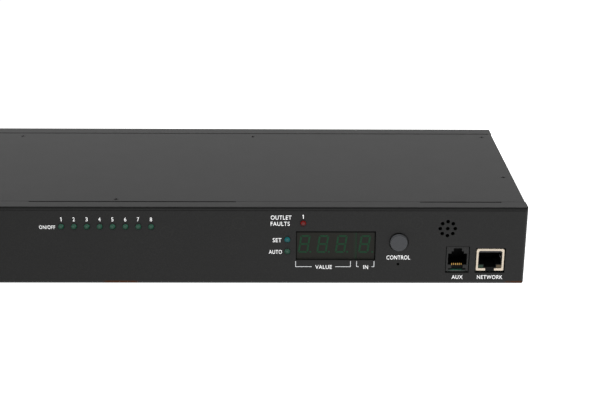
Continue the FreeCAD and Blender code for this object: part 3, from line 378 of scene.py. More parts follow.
def places(tree):
    """The three axes of a point, in the frame's own coordinates."""
    return add(tree, "ShaderNodeSeparateXYZ", {0: place(tree)}).outputs


def noise(tree, scale, detail):
    inputs = {"Vector": place(tree), "Scale": scale, "Detail": detail}
    return add(tree, "ShaderNodeTexNoise", inputs).outputs["Fac"]


FINE_DETAIL = 2.0
PATCH_DETAIL = 4.0
PATCH_SCALE = 0.045
PATCH_MIDDLE = 0.5
PATCH_RANGE = (0.25, 0.75, 0.55, 1.0)
SPECK_RANGE = (0.42, 0.68)


def grain_group():
    """Specks of a second tone, with uneven gloss and a height, for coats and moulded plastic."""
    group, given, out = new_group(
        "fine_grain",
        [
            ("Tone", "NodeSocketColor", (0.5, 0.5, 0.5, 1.0)),
            ("Speck", "NodeSocketColor", (0.6, 0.6, 0.6, 1.0)),
            ("Size", "NodeSocketFloat", 0.5 * MM),
            ("Roughness", "NodeSocketFloat", 0.5),
            ("Spread", "NodeSocketFloat", 0.1),
        ],
        [("Color", "NodeSocketColor"), ("Roughness", "NodeSocketFloat"), ("Height", "NodeSocketFloat")],
    )
    scale = sums(group, "DIVIDE", 1.0, given["Size"])
    fine = noise(group, scale, FINE_DETAIL)
    patch = noise(group, product(group, scale, PATCH_SCALE), PATCH_DETAIL)
    mask = product(group, ranged(group, fine, *SPECK_RANGE), ranged(group, patch, *PATCH_RANGE))
    group.links.new(blended(group, mask, given["Tone"], given["Speck"]), out["Color"])
    around = sums(group, "SUBTRACT", patch, PATCH_MIDDLE)
    uneven = sums(group, "MULTIPLY_ADD", around, given["Spread"], given["Roughness"])
    group.links.new(uneven, out["Roughness"])
    group.links.new(fine, out["Height"])
    return group


def disc_group():
    """A soft round mask about a line along Y through X and Z."""
    group, given, out = new_group(
        "round_mask",
        [
            ("X", "NodeSocketFloat", 0.0),
            ("Z", "NodeSocketFloat", 0.0),
            ("Inner", "NodeSocketFloat", 1.0 * MM),
            ("Outer", "NodeSocketFloat", 1.5 * MM),
        ],
        [("Mask", "NodeSocketFloat")],
    )
    axes = places(group)
    x = sums(group, "SUBTRACT", axes["X"], given["X"])
    z = sums(group, "SUBTRACT", axes["Z"], given["Z"])
    away = sums(group, "SQRT", sums(group, "MULTIPLY_ADD", x, x, sums(group, "MULTIPLY", z, z)))
    group.links.new(ranged(group, away, given["Outer"], given["Inner"]), out["Mask"])
    return group


GRAIN = grain_group()
DISC = disc_group()
Finish = namedtuple("Finish", "material tree shader grain bump")


def new_finish(name, **values):
    """A material with its shader's constants set on the shader's own sockets."""
    material = bpy.data.materials.new(name)
    material.use_nodes = True
    shader = material.node_tree.nodes["Principled BSDF"]
    for key, value in values.items():
        shader.inputs[key.replace("_", " ")].default_value = value
    return material, material.node_tree, shader


def grainy(name, tone, speck, size, roughness, spread=0.1, depth=0.02 * MM, strength=0.4, **values):
    """A finish of two tones in fine grain, with bump."""
    material, tree, shader = new_finish(name, **values)
    inputs = {
        "Tone": rgba(tone), "Speck": rgba(speck), "Size": size, "Roughness": roughness, "Spread": spread,
    }
    grain = add(tree, "ShaderNodeGroup", inputs, node_tree=GRAIN).outputs
    inputs = {"Height": grain["Height"], "Strength": strength, "Distance": depth}
    bump = add(tree, "ShaderNodeBump", inputs)
    tree.links.new(grain["Color"], shader.inputs["Base Color"])
    tree.links.new(grain["Roughness"], shader.inputs["Roughness"])
    tree.links.new(bump.outputs["Normal"], shader.inputs["Normal"])
    return Finish(material, tree, shader, grain, bump)


def plain_grain(*given, **values):
    return grainy(*given, **values).material


def coloured(finish, tone):
    """Puts a tone that changes over the surface in place of the finish's own."""
    finish.tree.links.new(tone, finish.shader.inputs["Base Color"])
    return finish.material


def disc(tree, x, z, inner, outer):
    inputs = {"X": x, "Z": z, "Inner": inner, "Outer": outer}
    return add(tree, "ShaderNodeGroup", inputs, node_tree=DISC).outputs["Mask"]


def dress(finish, *names):
    """Puts a finish on nodes of the frame."""
    for name in names:
        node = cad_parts[name]
        if not node.material_slots:
            node.data.materials.append(finish)
        for slot in node.material_slots:
            slot.material = finish


def plain_dress(nodes, *given, **values):
    dress(plain_grain(*given, **values), *nodes)


def numbered(stem, count):
    return [f"{stem}_{k}" for k in range(1, count + 1)]


def lighter(tone, factor):
    return tuple(min(1.0, part * factor) for part in tone)


# Case

# Stud marks are middles in X and Z, and rust runs have a left, a right, a foot and a top, in millimetres
STUD_MARKS = [(27.7, 30.2), (66.1, 35.3), (160.6, 35.7)]
STUD_MARK_RADIUS = 3.25 * MM
STUD_MARK_LINE = 0.35 * MM
STUD_MARK_TONE = 2.2
STUD_MARK_SHARE = 0.22
STUD_MARK_HEIGHT = 0.5
FRONT_SKIN = (0.3, 0.1)
RUST_RUNS = [(-8.6, 12.0, -0.6, 2.3), (208.2, 219.8, 0.15, 2.3)]
RUST_SIDE_FADES = (4.0, 1.0)
RUST_RISE_FADES = (0.5, 0.7)
RUST_NEAR = (4.0, 2.0)
RUST_NOISE = (900.0, 5.0)
RUST_PATCHY = (0.30, 0.50)
RUST_ROUGHNESS = 0.4
RUST_HEIGHT = 0.6
# Painted shade along the lower and the upper fold of the front, heights in millimetres
FOLD_SHADE_LINES = [(-0.5, 0.9), (42.2, 43.0)]
FOLD_SHADE_FADES = (0.25, 0.25)
FOLD_SHADE_NEAR = (2.4, 1.8)
FOLD_SHADE_NOISE = (1100.0, 3.0)
FOLD_SHADE_UNEVEN = (0.30, 0.60, 0.55, 1.0)
FOLD_SHADE_ROUGHNESS = 0.2


def stud_marks(tree):
    """Faint rings on the front where studs are pressed in behind it."""
    rings = []
    for x, z in STUD_MARKS:
        outside = disc(tree, x * MM, z * MM, STUD_MARK_RADIUS, STUD_MARK_RADIUS + STUD_MARK_LINE)
        inside = disc(tree, x * MM, z * MM, STUD_MARK_RADIUS - STUD_MARK_LINE, STUD_MARK_RADIUS)
        rings.append(sums(tree, "SUBTRACT", outside, inside))
    return product(tree, total(tree, rings), spanned(tree, places(tree)["Y"], FRONT_SKIN, FRONT))


def worn(tree, masks, near, spots, patches):
    """Patches within the masks, near the front: rust on the worn edge, and painted shade along the folds."""
    front = spanned(tree, places(tree)["Y"], near, FRONT)
    return product(tree, total(tree, masks), front, ranged(tree, noise(tree, *spots), *patches))


def rust_marks(tree):
    """Rust along the lower front edge, in runs from left to right."""
    axes = places(tree)
    runs = []
    for left, right, foot, top in RUST_RUNS:
        along = band(tree, axes["X"], left, right, RUST_SIDE_FADES)
        runs.append(product(tree, along, band(tree, axes["Z"], foot, top, RUST_RISE_FADES)))
    return worn(tree, runs, RUST_NEAR, RUST_NOISE, RUST_PATCHY)


def rubbed_folds(tree):
    """Painted shade: thin uneven dark lines along the upper and the lower fold of the front."""
    z = places(tree)["Z"]
    lines = [band(tree, z, low, high, FOLD_SHADE_FADES) for low, high in FOLD_SHADE_LINES]
    return worn(tree, lines, FOLD_SHADE_NEAR, FOLD_SHADE_NOISE, FOLD_SHADE_UNEVEN)


def case_paint(settings):
    """Powder coat, with stud marks, painted shade along the folds and rust on the front."""
    made = grainy(
        "case_paint", settings.paint, settings.speck, settings.grain, settings.gloss, spread=0.03,
        depth=0.03 * MM, strength=0.5, Specular_IOR_Level=0.22,
    )
    tree, coat = made.tree, made.grain
    marks, rust, folds = stud_marks(tree), rust_marks(tree), rubbed_folds(tree)
    ring = rgba(lighter(settings.speck, STUD_MARK_TONE))
    toned = blended(tree, product(tree, marks, STUD_MARK_SHARE), coat["Color"], ring)
    # Painted shade along the folds
    toned = blended(tree, folds, toned, rgba(settings.rubbed))
    rough = sums(tree, "MULTIPLY_ADD", rust, RUST_ROUGHNESS, coat["Roughness"])
    rough = sums(tree, "MULTIPLY_ADD", folds, FOLD_SHADE_ROUGHNESS, rough)
    tree.links.new(rough, made.shader.inputs["Roughness"])
    height = sums(tree, "MULTIPLY_ADD", marks, STUD_MARK_HEIGHT, coat["Height"])
    height = sums(tree, "MULTIPLY_ADD", rust, RUST_HEIGHT, height)
    tree.links.new(height, made.bump.inputs["Height"])
    return coloured(made, blended(tree, rust, toned, rgba(settings.rust)))


class RackCase(bpy.types.Operator):
    """Paints the tray and lid and blackens the countersunk screws"""

    bl_idname = "rack.case"
    bl_label = "Case"

    def execute(self, context):
        settings = context.scene.rack_case
        dress(case_paint(settings), "chassis_tray", "top_cover")
        plain_dress(
            ["countersunk_screws"], "screw_black", tone=(0.007, 0.007, 0.007), speck=(0.014, 0.014, 0.013),
            size=0.35 * MM, roughness=0.46, Metallic=0.1, Specular_IOR_Level=0.22,
        )
        return {"FINISHED"}


# Lamps

LENS_RADIUS = 1.5 * MM
LENS_TILT = math.radians(30.0)
LENS_SPECK = 1.3
# Painted highlight ring, painted light on the top and painted shade under the lenses
HIGHLIGHT_INNER = (0.01, 0.06)
HIGHLIGHT_OUTER = (0.40, 0.14)
HIGHLIGHT_LIFT = 0.038
HIGHLIGHT_TINT = 0.55
HIGHLIGHT_SHARE = 0.85
LIT_TOP_RISE = (0.0, 1.2)
SHADE_RISE = (0.1, -0.9)
SHADE_TONE = 0.12
OUTLET_COUNT = 8


def resin(name, tone, top, node):
    """Tinted resin, with painted light on the top, a painted ring of highlight, and painted shade on the
    underside.
    """
    low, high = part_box(node)
    made = grainy(
        name, tone, lighter(tone, LENS_SPECK), size=0.7 * MM, roughness=0.28, spread=0.08,
        depth=0.01 * MM, strength=0.15, Specular_IOR_Level=0.12,
    )
    tree = made.tree
    axes = places(tree)
    forward = sums(tree, "SUBTRACT", low.y + LENS_RADIUS, axes["Y"])
    rise = sums(tree, "SUBTRACT", axes["Z"], (low.z + high.z) / 2)
    tilted = product(tree, forward, math.cos(LENS_TILT))
    tilted = sums(tree, "MULTIPLY_ADD", rise, math.sin(LENS_TILT), tilted)
    depth = sums(tree, "SUBTRACT", LENS_RADIUS, tilted)
    # Painted light on the top of the lens
    toned = blended(tree, spanned(tree, rise, LIT_TOP_RISE), made.grain["Color"], rgba(top))
    # Painted highlight: a pale ring about the tilted pole
    ring = product(tree, spanned(tree, depth, HIGHLIGHT_INNER), spanned(tree, depth, HIGHLIGHT_OUTER), HIGHLIGHT_SHARE)
    highlight = rgba(tuple(HIGHLIGHT_TINT * part + HIGHLIGHT_LIFT for part in tone))
    toned = blended(tree, ring, toned, highlight)
    # Painted shade on the underside
    shaded_under = spanned(tree, rise, SHADE_RISE)
    return coloured(made, blended(tree, shaded_under, toned, rgba(lighter(tone, SHADE_TONE))))


class RackLamps(bpy.types.Operator):
    """Tints the lenses of the lamps and paints light, highlight and shade on them"""

    bl_idname = "rack.lamps"
    bl_label = "Lamps"

    def execute(self, context):
        settings = context.scene.rack_lamps
        for name, tone, top, nodes in (
            ("lamp_green", settings.green, settings.green_top, numbered("outlet_lamp", OUTLET_COUNT)),
            ("lamp_red", settings.red, settings.red_top, ["circuit_lamp"]),
            ("lamp_teal", settings.teal, settings.teal_top, ["status_lamp_1"]),
            ("lamp_dull_green", settings.dull_green, settings.dull_green_top, ["status_lamp_2"]),
        ):
            dress(resin(name, tone, top, nodes[0]), *nodes)
        return {"FINISHED"}


# Displays

GASKET_LOW = (97.1, 13.5)
GASKET_HIGH = (138.65, 29.55)
GASKET_GAP = 0.01 * MM
GASKET_CORNER = 0.4 * MM
GASKET_EDGE = 0.02 * MM
STRIP_DEPTH = 1.0 * MM
STRIP_GAP = 0.03 * MM
STRIP_SINK = 0.02 * MM
STRIP_EDGE = 0.05 * MM
JOINT_START = (-1.8, 0.0)
JOINT_END = (0.3, 0.0)
JOINT_SHARE = 0.3
FACE_SPECK = 1.25
# Painted light along the foot of the display faces
FACE_FOOT_LIGHT = (15.0, 13.8)
FACE_FOOT_LIGHT_TONE = (0.030, 0.030, 0.027)
SEGMENT_SPECK = 1.3


def display_gasket(settings):
    """A soft black frame between the sheet and the display faces, which also stands in for the shade just
    inside the window.
    """
    meter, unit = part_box("meter_display"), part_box("unit_display")
    back = meter[0].y - GASKET_GAP
    low = Vector((meter[0].x, back - settings.gasket, meter[0].z))
    high = Vector((unit[1].x, back, meter[1].z))
    piece = start_box("display_gasket", low, high)
    hole = start_box(
        "gasket_cutter",
        (GASKET_LOW[0] * MM, low.y - MM, GASKET_LOW[1] * MM),
        (GASKET_HIGH[0] * MM, high.y + MM, GASKET_HIGH[1] * MM),
    )
    start_edit(hole)
    pick_edges(lambda at, way: abs(way.y) > ALONG)
    rounded(GASKET_CORNER, segments=4)
    end_edit()
    cut_away(piece, hole)
    soft_edges(piece, GASKET_EDGE)
    return piece


def display_strip():
    """A tinted strip in the joint between the two displays."""
    meter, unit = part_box("meter_display"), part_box("unit_display")
    low = Vector((meter[1].x + STRIP_GAP, meter[0].y + STRIP_SINK, meter[0].z))
    high = Vector((unit[0].x - STRIP_GAP, meter[0].y + STRIP_DEPTH, meter[1].z))
    piece = start_box("display_strip", low, high)
    soft_edges(piece, STRIP_EDGE)
    return piece


def display_face(settings):
    """Smoked resin, faintly green beside the joint between the displays, with painted light along its foot
    where the sill shades it.
    """
    made = grainy(
        "display_face", settings.face, lighter(settings.face, FACE_SPECK), size=1.2 * MM, roughness=0.34,
        depth=0.01 * MM, strength=0.2, Specular_IOR_Level=0.165,
    )
    tree = made.tree
    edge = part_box("meter_display")[1].x
    axes = places(tree)
    x = axes["X"]
    near = product(tree, spanned(tree, x, JOINT_START, edge), spanned(tree, x, JOINT_END, edge), JOINT_SHARE)
    tinted = blended(tree, near, made.grain["Color"], rgba(settings.segment))
    # Painted light: a paler tone along the foot, where the sill shades the face
    foot = spanned(tree, axes["Z"], FACE_FOOT_LIGHT)
    return coloured(made, blended(tree, foot, tinted, rgba(FACE_FOOT_LIGHT_TONE)))


class RackDisplay(bpy.types.Operator):
    """Smokes and frames the displays and tints the unlit numerals"""

    bl_idname = "rack.display"
    bl_label = "Displays"

    def execute(self, context):
        settings = context.scene.rack_display
        dress(display_face(settings), "meter_display", "unit_display")
        segment = plain_grain(
            "display_segment", settings.segment, lighter(settings.segment, SEGMENT_SPECK), size=0.8 * MM,
            roughness=0.4, depth=0.01 * MM, strength=0.2, Specular_IOR_Level=0.14,
        )
        dress(segment, "digit_segments")
        # Black rubber, darker than the case, that also paints the shade round the inside of the display
        # window
        rubber_and_shade = plain_grain(
            "gasket_rubber_and_shade", tone=(0.0030, 0.0030, 0.0028), speck=(0.0045, 0.0045, 0.0042), size=0.3 * MM,
            roughness=0.9, Specular_IOR_Level=0.1,
        )
        done(display_gasket(settings), rubber_and_shade)
        done(display_strip(), segment)
        return {"FINISHED"}


# Button, switches and buzzer

# Painted light on the side of the button cap, and painted shade where it sits within the wall
CAP_LIT_SIDE = (0.25, 0.45)
CAP_LIT_SIDE_TONE = (0.150, 0.155, 0.166)
CAP_SHADED_DEEP = (-0.3, 0.0)
CAP_SHADED_DEEP_TONE = (0.012, 0.012, 0.013)


def button_cap():
    """Grey plastic, with painted light round its side and painted shade within the wall."""
    made = grainy(
        "button_cap", tone=(0.033, 0.0345, 0.038), speck=(0.037, 0.0385, 0.0425), size=0.35 * MM,
        roughness=0.5, depth=0.012 * MM, strength=0.35, Specular_IOR_Level=0.33,
    )
    tree = made.tree
    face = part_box("function_button")[0].y
    y = places(tree)["Y"]
    side = spanned(tree, y, CAP_LIT_SIDE, face)
    # Painted light on the side wall
    toned = blended(tree, side, made.grain["Color"], rgba(CAP_LIT_SIDE_TONE))
    # Painted shade within the wall
    return coloured(made, blended(tree, spanned(tree, y, CAP_SHADED_DEEP, FRONT), toned, rgba(CAP_SHADED_DEEP_TONE)))


class RackControls(bpy.types.Operator):
    """Finishes the push button, the switches behind the front and the buzzer"""

    bl_idname = "rack.controls"
    bl_label = "Controls"

    def execute(self, context):
        dress(button_cap(), "function_button")
        plain_dress(
            ["function_switch", "function_plunger", "reset_switch"], "switch_plastic",
            tone=(0.012, 0.012, 0.012), speck=(0.02, 0.02, 0.02), size=0.4 * MM, roughness=0.45,
        )
        # Black plastic, made darker still to paint the shade in the sound holes in front of it
        plain_dress(
            ["buzzer"], "buzzer_black_shade", tone=(0.0012, 0.0012, 0.0012), speck=(0.002, 0.002, 0.002),
            size=0.4 * MM, roughness=0.9, Specular_IOR_Level=0.05,
        )
        plain_dress(
            ["reset_plunger"], "reset_tip", tone=(0.035, 0.035, 0.036), speck=(0.05, 0.05, 0.05),
            size=0.4 * MM, roughness=0.5,
        )
        return {"FINISHED"}


# Printed legends

# Piece, words, middle in X and Z, width and height, in millimetres
FRONT_WORDS = [
    ("legend_on_off", "ON/OFF", -35.28, 32.95, 8.5, 2.05),
    ("legend_state_1", "OUTLET", 88.7, 38.65, 11.0, 2.4),
    ("legend_state_2", "FAULTS", 88.2, 35.1, 10.1, 2.35),
    ("legend_lamp_1", "SET", 86.55, 25.7, 4.7, 2.35),
    ("legend_lamp_2", "AUTO", 85.67, 18.9, 7.0, 2.3),
    ("legend_meter", "VALUE", 111.55, 10.1, 8.9, 2.25),
    ("legend_unit", "IN", 134.2, 10.1, 2.6, 2.25),
    ("legend_button", "CONTROL", 151.6, 15.73, 12.7, 2.4),
    ("legend_sensor", "AUX", 183.8, 4.27, 6.0, 2.25),
    ("legend_network", "NETWORK", 201.45, 4.27, 13.8, 2.25),
]
LAMP_NUMBER_RISE = 37.45
NUMBER_HEIGHT = 2.25
NUMBER_WIDTH = 1.2
FIRST_NUMBER_SHIFT = 0.2
STROKE = 0.17
FLAG_DROP = 0.2
FLAG_REACH = 0.14
FLAG_FALL = 0.12
PRINT_EDGE = 0.02 * MM
LETTER_DEPTH = 0.05
LETTER_STEPS = 6
MERGE_DISTANCE = 1e-6
INK_SPECK = 0.93
CIRCUIT_NUMBER = (100.5, 39.1)


def lettering(name, words, x, z, wide, tall, facing, settings, finish):
    """Print as a thin closed mesh on the front or the rear wall. Facing is -1 or 1 along Y."""
    clear_selection()
    bpy.ops.object.text_add(location=(0.0, 0.0, 0.0))
    piece = bpy.context.object
    piece.name = name
    piece.data.body = words
    piece.data.offset = settings.bold
    piece.data.space_character = settings.spacing
    piece.data.extrude = LETTER_DEPTH
    piece.data.resolution_u = LETTER_STEPS
    bpy.ops.object.convert(target="MESH")
    piece = bpy.context.object
    piece.data.name = name
    bpy.ops.object.origin_set(type="ORIGIN_GEOMETRY", center="BOUNDS")
    size = piece.dimensions.copy()
    piece.scale = (wide / size.x, tall / size.y, 2.0 * settings.raised / size.z)
    piece.rotation_euler = (math.radians(90.0), 0.0, math.radians(180.0) if facing > 0 else 0.0)
    piece.location = (x, REAR if facing > 0 else FRONT, z)
    settle(piece)
    start_edit(piece)
    bpy.ops.mesh.select_all(action="SELECT")
    bpy.ops.mesh.remove_doubles(threshold=MERGE_DISTANCE)
    end_edit()
    return done(piece, finish)


def figure_one(name, x, z, tall, facing, settings, finish):
    """A plain figure one: a stem with a short flag."""
    wall = REAR if facing > 0 else FRONT
    half = STROKE * tall / 2
    low = (x - half, wall - settings.raised, z - tall / 2)
    piece = start_box(name, low, (x + half, wall + settings.raised, z + tall / 2))
    start_edit(piece)
    bpy.ops.mesh.select_all(action="SELECT")
    foot = z + tall / 2 - FLAG_DROP * tall
    bpy.ops.mesh.bisect(plane_co=(x, wall, foot), plane_no=(0.0, 0.0, 1.0))
    pick_faces(lambda at, normal: normal.x * facing > ALONG and at.z > foot)
    extrude((facing * FLAG_REACH * tall, 0.0, -FLAG_FALL * tall))
    end_edit()
    soft_edges(piece, PRINT_EDGE)
    return done(piece, finish)


def ink(name, tone):
    speck = lighter(tone, INK_SPECK)
    return plain_grain(name, tone, speck, size=0.4 * MM, roughness=0.55, depth=0.01 * MM, strength=0.3)


class RackFrontLegends(bpy.types.Operator):
    """Prints the numbers and words on the front"""

    bl_idname = "rack.front_legends"
    bl_label = "Front legends"

    def execute(self, context):
        settings = context.scene.rack_legends
        finish = ink("legend_ink", settings.ink)
        for name, words, x, z, wide, tall in FRONT_WORDS:
            lettering(name, words, x * MM, z * MM, wide * MM, tall * MM, -1, settings, finish)
        z, wide, tall = LAMP_NUMBER_RISE * MM, NUMBER_WIDTH * MM, NUMBER_HEIGHT * MM
        for k, lamp in enumerate(numbered("outlet_lamp", OUTLET_COUNT), 1):
            low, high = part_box(lamp)
            x = (low.x + high.x) / 2
            if k == 1:
                figure_one("number_1", x + FIRST_NUMBER_SHIFT * MM, z, tall, -1, settings, finish)
            else:
                lettering(f"number_{k}", str(k), x, z, wide, tall, -1, settings, finish)
        x, z = CIRCUIT_NUMBER
        figure_one("number_circuit", x * MM, z * MM, tall, -1, settings, finish)
        return {"FINISHED"}


# Piece, corner and end in X, in millimetres
BRACKETS = [
    ("bracket_meter_left", 96.48, 105.2),
    ("bracket_meter_right", 125.99, 117.9),
    ("bracket_unit_left", 129.27, 130.5),
    ("bracket_unit_right", 138.65, 137.35),
]
BRACKET_TOP = 13.55
BRACKET_LINE = 10.3


class RackBrackets(bpy.types.Operator):
    """Prints the bracket lines below the displays"""

    bl_idname = "rack.brackets"
    bl_label = "Bracket lines"

    def execute(self, context):
        settings = context.scene.rack_legends
        finish = ink("line_ink", settings.line_ink)
        half = settings.line / 2
        for name, corner, end in BRACKETS:
            x, z = corner * MM, BRACKET_LINE * MM
            low = (x - half, FRONT - settings.raised, z - half)
            piece = start_box(name, low, (x + half, FRONT + settings.raised, z + half))
            start_edit(piece)
            pick_faces(lambda at, normal: normal.z > ALONG)
            extrude((0.0, 0.0, BRACKET_TOP * MM - z - half))
            side = 1.0 if end > corner else -1.0
            pick_faces(lambda at, normal: normal.x * side > ALONG and at.z < z + half)
            extrude((end * MM - x - side * half, 0.0, 0.0))
            pick_edges(lambda at, way: abs(way.y) > ALONG and (at.x - x) * side < 0.0 and at.z < z)
            rounded(settings.bend, segments=5)
            inner = Vector((x + side * half, FRONT, z + half))
            pick_edges(lambda at, way: abs(way.y) > ALONG and (at - inner).length < SAME_PLACE)
            rounded(settings.bend - settings.line, segments=4)
            end_edit()
            done(piece, finish)
        return {"FINISHED"}


# Data sockets

OPENING_SLACK = 0.1 * MM
OPENING_CORNER = 0.5 * MM
CHAMFER_FROM = 2.0 * MM
NOTCH_HALF = 2.4 * MM
NOTCH_DEPTH = 6.0 * MM
NOTCH_CORNER = 0.5 * MM
SPRING_RISE = 0.59
SPRING_TALL = 0.9 * MM
SPRING_START = 1.0 * MM
SPRING_REACH = 4.6 * MM
SPRING_BULGE = 0.35 * MM
SPRING_STEPS = [(0.22, 0.7), (0.18, 0.3), (0.2, 0.0), (0.2, -0.3), (0.2, -0.6)]
SPRING_EDGE = 0.05 * MM
SPRING_ANGLE = 40.0
PLUG_HALF = 5.85 * MM
CONTACT_LIP = 3.0 * MM
INSERT_LIP = 1.0 * MM
# Painted light on the lip of the insert, and painted shade inside the sockets
LIP_LIGHT_TONE = (0.055, 0.055, 0.057)
LIP_FADE = (-0.1, 0.1)
SUNK = (0.1, 1.2)
SUNK_SPECK = 1.5
SHIELD_SPECK = 0.88
INSERT_TONE = (0.0060, 0.0060, 0.0061)
SHELL_TONE = (0.020, 0.020, 0.020)
LAMP_FADE = (-1.0, 1.0)
LEFT_LAMP = (0.012, 0.034, 0.020)
RIGHT_LAMP = (0.075, 0.055, 0.030)
CONTACT_FADE = (0.0, 0.5)
# Painted shade on the contacts deeper in
CONTACT_SHADE_TONE = (0.020, 0.010, 0.003)


def shield_metal(settings):
    return plain_grain(
        "shield_plating", settings.metal, lighter(settings.metal, SHIELD_SPECK), size=0.9 * MM,
        roughness=0.34, spread=0.25, depth=0.01 * MM, strength=0.25, Metallic=0.85,
    )


def network_shield(settings):
    """A box open at the front and the rear, with rounded corners and face and the latch notch below."""
    low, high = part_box("network_socket_shield")
    middle, half = (low + high) / 2, (high - low) / 2
    inner_x, inner_z = half.x - settings.wall, half.z - settings.wall

    def within(at):
        return max(abs(at.x - middle.x) - inner_x, abs(at.z - middle.z) - inner_z) < OPENING_SLACK

    piece = start_box("network_shield", low, high)
    start_edit(piece)
    for end in (-1.0, 1.0):
        pick_faces(lambda at, normal: normal.y * end > ALONG)
        bpy.ops.mesh.inset(thickness=settings.wall, depth=0.0)
        bpy.ops.mesh.delete(type="FACE")
    pick_edges(lambda at, way: abs(way.y) < ACROSS and within(at))
    bpy.ops.mesh.bridge_edge_loops()
    bpy.ops.mesh.select_all(action="SELECT")
    bpy.ops.mesh.normals_make_consistent(inside=False)
    pick_edges(lambda at, way: within(at) and at.z < middle.z - inner_z + OPENING_SLACK / 2)
    move((0.0, 0.0, settings.floor - settings.wall))
    pick_edges(lambda at, way: abs(way.y) > ALONG and not within(at) and at.z > middle.z)
    rounded(settings.corner, segments=5)
    pick_edges(lambda at, way: abs(way.y) > ALONG and not within(at) and at.z < middle.z - inner_z)
    rounded(settings.foot, segments=4)
    pick_edges(lambda at, way: abs(way.y) > ALONG and within(at) and at.z < middle.z)
    rounded(OPENING_CORNER, segments=3)
    pick_edges(lambda at, way: abs(way.y) > ALONG and within(at) and at.z > middle.z + CHAMFER_FROM)
    rounded(settings.chamfer, segments=1)
    pick_creases(lambda at: abs(at.y - low.y) < SAME_PLACE)
    rounded(settings.rim, segments=4)
    end_edit()
    notch = start_box(
        "notch_cutter",
        (middle.x - NOTCH_HALF, low.y - MM, low.z - MM),
        (middle.x + NOTCH_HALF, low.y + NOTCH_DEPTH, low.z + settings.floor + MM),
    )
    start_edit(notch)
    pick_edges(lambda at, way: abs(way.z) > ALONG and at.y > low.y)
    rounded(NOTCH_CORNER, segments=3)
    end_edit()
    cut_away(piece, notch)
    return piece


def shield_springs(settings):
    """Leaves of the shield that stand through the sides of the plug opening."""
    low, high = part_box("network_socket_shield")
    middle = (low + high) / 2
    z = low.z + SPRING_RISE * (high.z - low.z)
    made = []
    for side in (-1.0, 1.0):
        root = middle.x + side * (PLUG_HALF + settings.leaf)
        inner = root - side * settings.leaf
        y = low.y + SPRING_START
        ends = sorted((root, inner))
        leaf = start_box(
            "leaf", (ends[0], y, z - SPRING_TALL / 2), (ends[1], y + settings.leaf, z + SPRING_TALL / 2)
        )
        start_edit(leaf)
        pick_faces(lambda at, normal: normal.y > ALONG)
        for step, inward in SPRING_STEPS:
            extrude((-side * inward * SPRING_BULGE, step * SPRING_REACH, 0.0))
        end_edit()
        soft_edges(leaf, SPRING_EDGE, limit=SPRING_ANGLE)
        made.append(leaf)
    return joined("shield_springs", made)


def sunken(name, tone, node, specular, shade_share_inside, lip=0.0):
    """Moulded plastic with painted shade a short way in from its front face, and painted light on a lip at
    its top.
    """
    made = grainy(
        name, tone, lighter(tone, SUNK_SPECK), size=0.45 * MM, roughness=0.45, Specular_IOR_Level=specular
    )
    tree = made.tree
    low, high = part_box(node)
    axes = places(tree)
    toned = made.grain["Color"]
    if lip:
        # Painted light on the lip
        toned = blended(tree, spanned(tree, axes["Z"], LIP_FADE, high.z - lip), toned, rgba(LIP_LIGHT_TONE))
    # Painted shade deeper in
    inside = spanned(tree, axes["Y"], SUNK, low.y)
    return coloured(made, blended(tree, inside, toned, rgba(lighter(tone, shade_share_inside))))


class RackNetworkSocket(bpy.types.Operator):
    """Forms the shield of the network socket with its springs, and finishes its insert and lamps"""

    bl_idname = "rack.network_socket"
    bl_label = "Network socket"

    def execute(self, context):
        settings = context.scene.rack_sockets
        metal = shield_metal(settings)
        shield = done(network_shield(settings), metal)
        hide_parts("network_socket_shield")
        dull = plain_grain(
            "spring_metal", tone=(0.62, 0.61, 0.60), speck=(0.52, 0.51, 0.50), size=0.5 * MM, roughness=0.36,
            Metallic=0.9,
        )
        done(shield_springs(settings), dull)
        insert = sunken(
            "socket_insert", INSERT_TONE, "network_socket_insert", specular=0.06, shade_share_inside=0.7,
            lip=INSERT_LIP,
        )
        dress(insert, "network_socket_insert")
        dress(socket_lamp(), "network_socket_lamps")
        return {"FINISHED"}


def socket_lamp():
    """One lamp of the socket is green, the other amber."""
    material, tree, shader = new_finish("socket_lamp", Roughness=0.3, Specular_IOR_Level=0.2)
    low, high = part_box("network_socket_lamps")
    right = spanned(tree, places(tree)["X"], LAMP_FADE, (low.x + high.x) / 2)
    tree.links.new(blended(tree, right, rgba(LEFT_LAMP), rgba(RIGHT_LAMP)), shader.inputs["Base Color"])
    return material


def contact_gold():
    """Gold plate, with painted shade where the contacts run back into the sockets."""
    made = grainy(
        "contact_gold", tone=(0.44, 0.26, 0.075), speck=(0.37, 0.215, 0.060), size=0.6 * MM, roughness=0.3,
        Metallic=1.0,
    )
    tree = made.tree
    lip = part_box("sensor_socket")[0].y + CONTACT_LIP
    # Painted shade deeper in
    back = spanned(tree, places(tree)["Y"], CONTACT_FADE, lip)
    return coloured(made, blended(tree, back, made.grain["Color"], rgba(CONTACT_SHADE_TONE)))


class RackSensorSocket(bpy.types.Operator):
    """Finishes the sensor socket and the contacts of both sockets"""

    bl_idname = "rack.sensor_socket"
    bl_label = "Sensor socket"

    def execute(self, context):
        shell = sunken("socket_shell", SHELL_TONE, "sensor_socket", specular=0.1, shade_share_inside=0.08)
        dress(shell, "sensor_socket")
        dress(contact_gold(), "socket_contacts")
        return {"FINISHED"}


# Rear

REAR_NUMBER_RISE = 38.6
REAR_NUMBER_HEIGHT = 3.0
REAR_NUMBER_WIDTH = 0.62


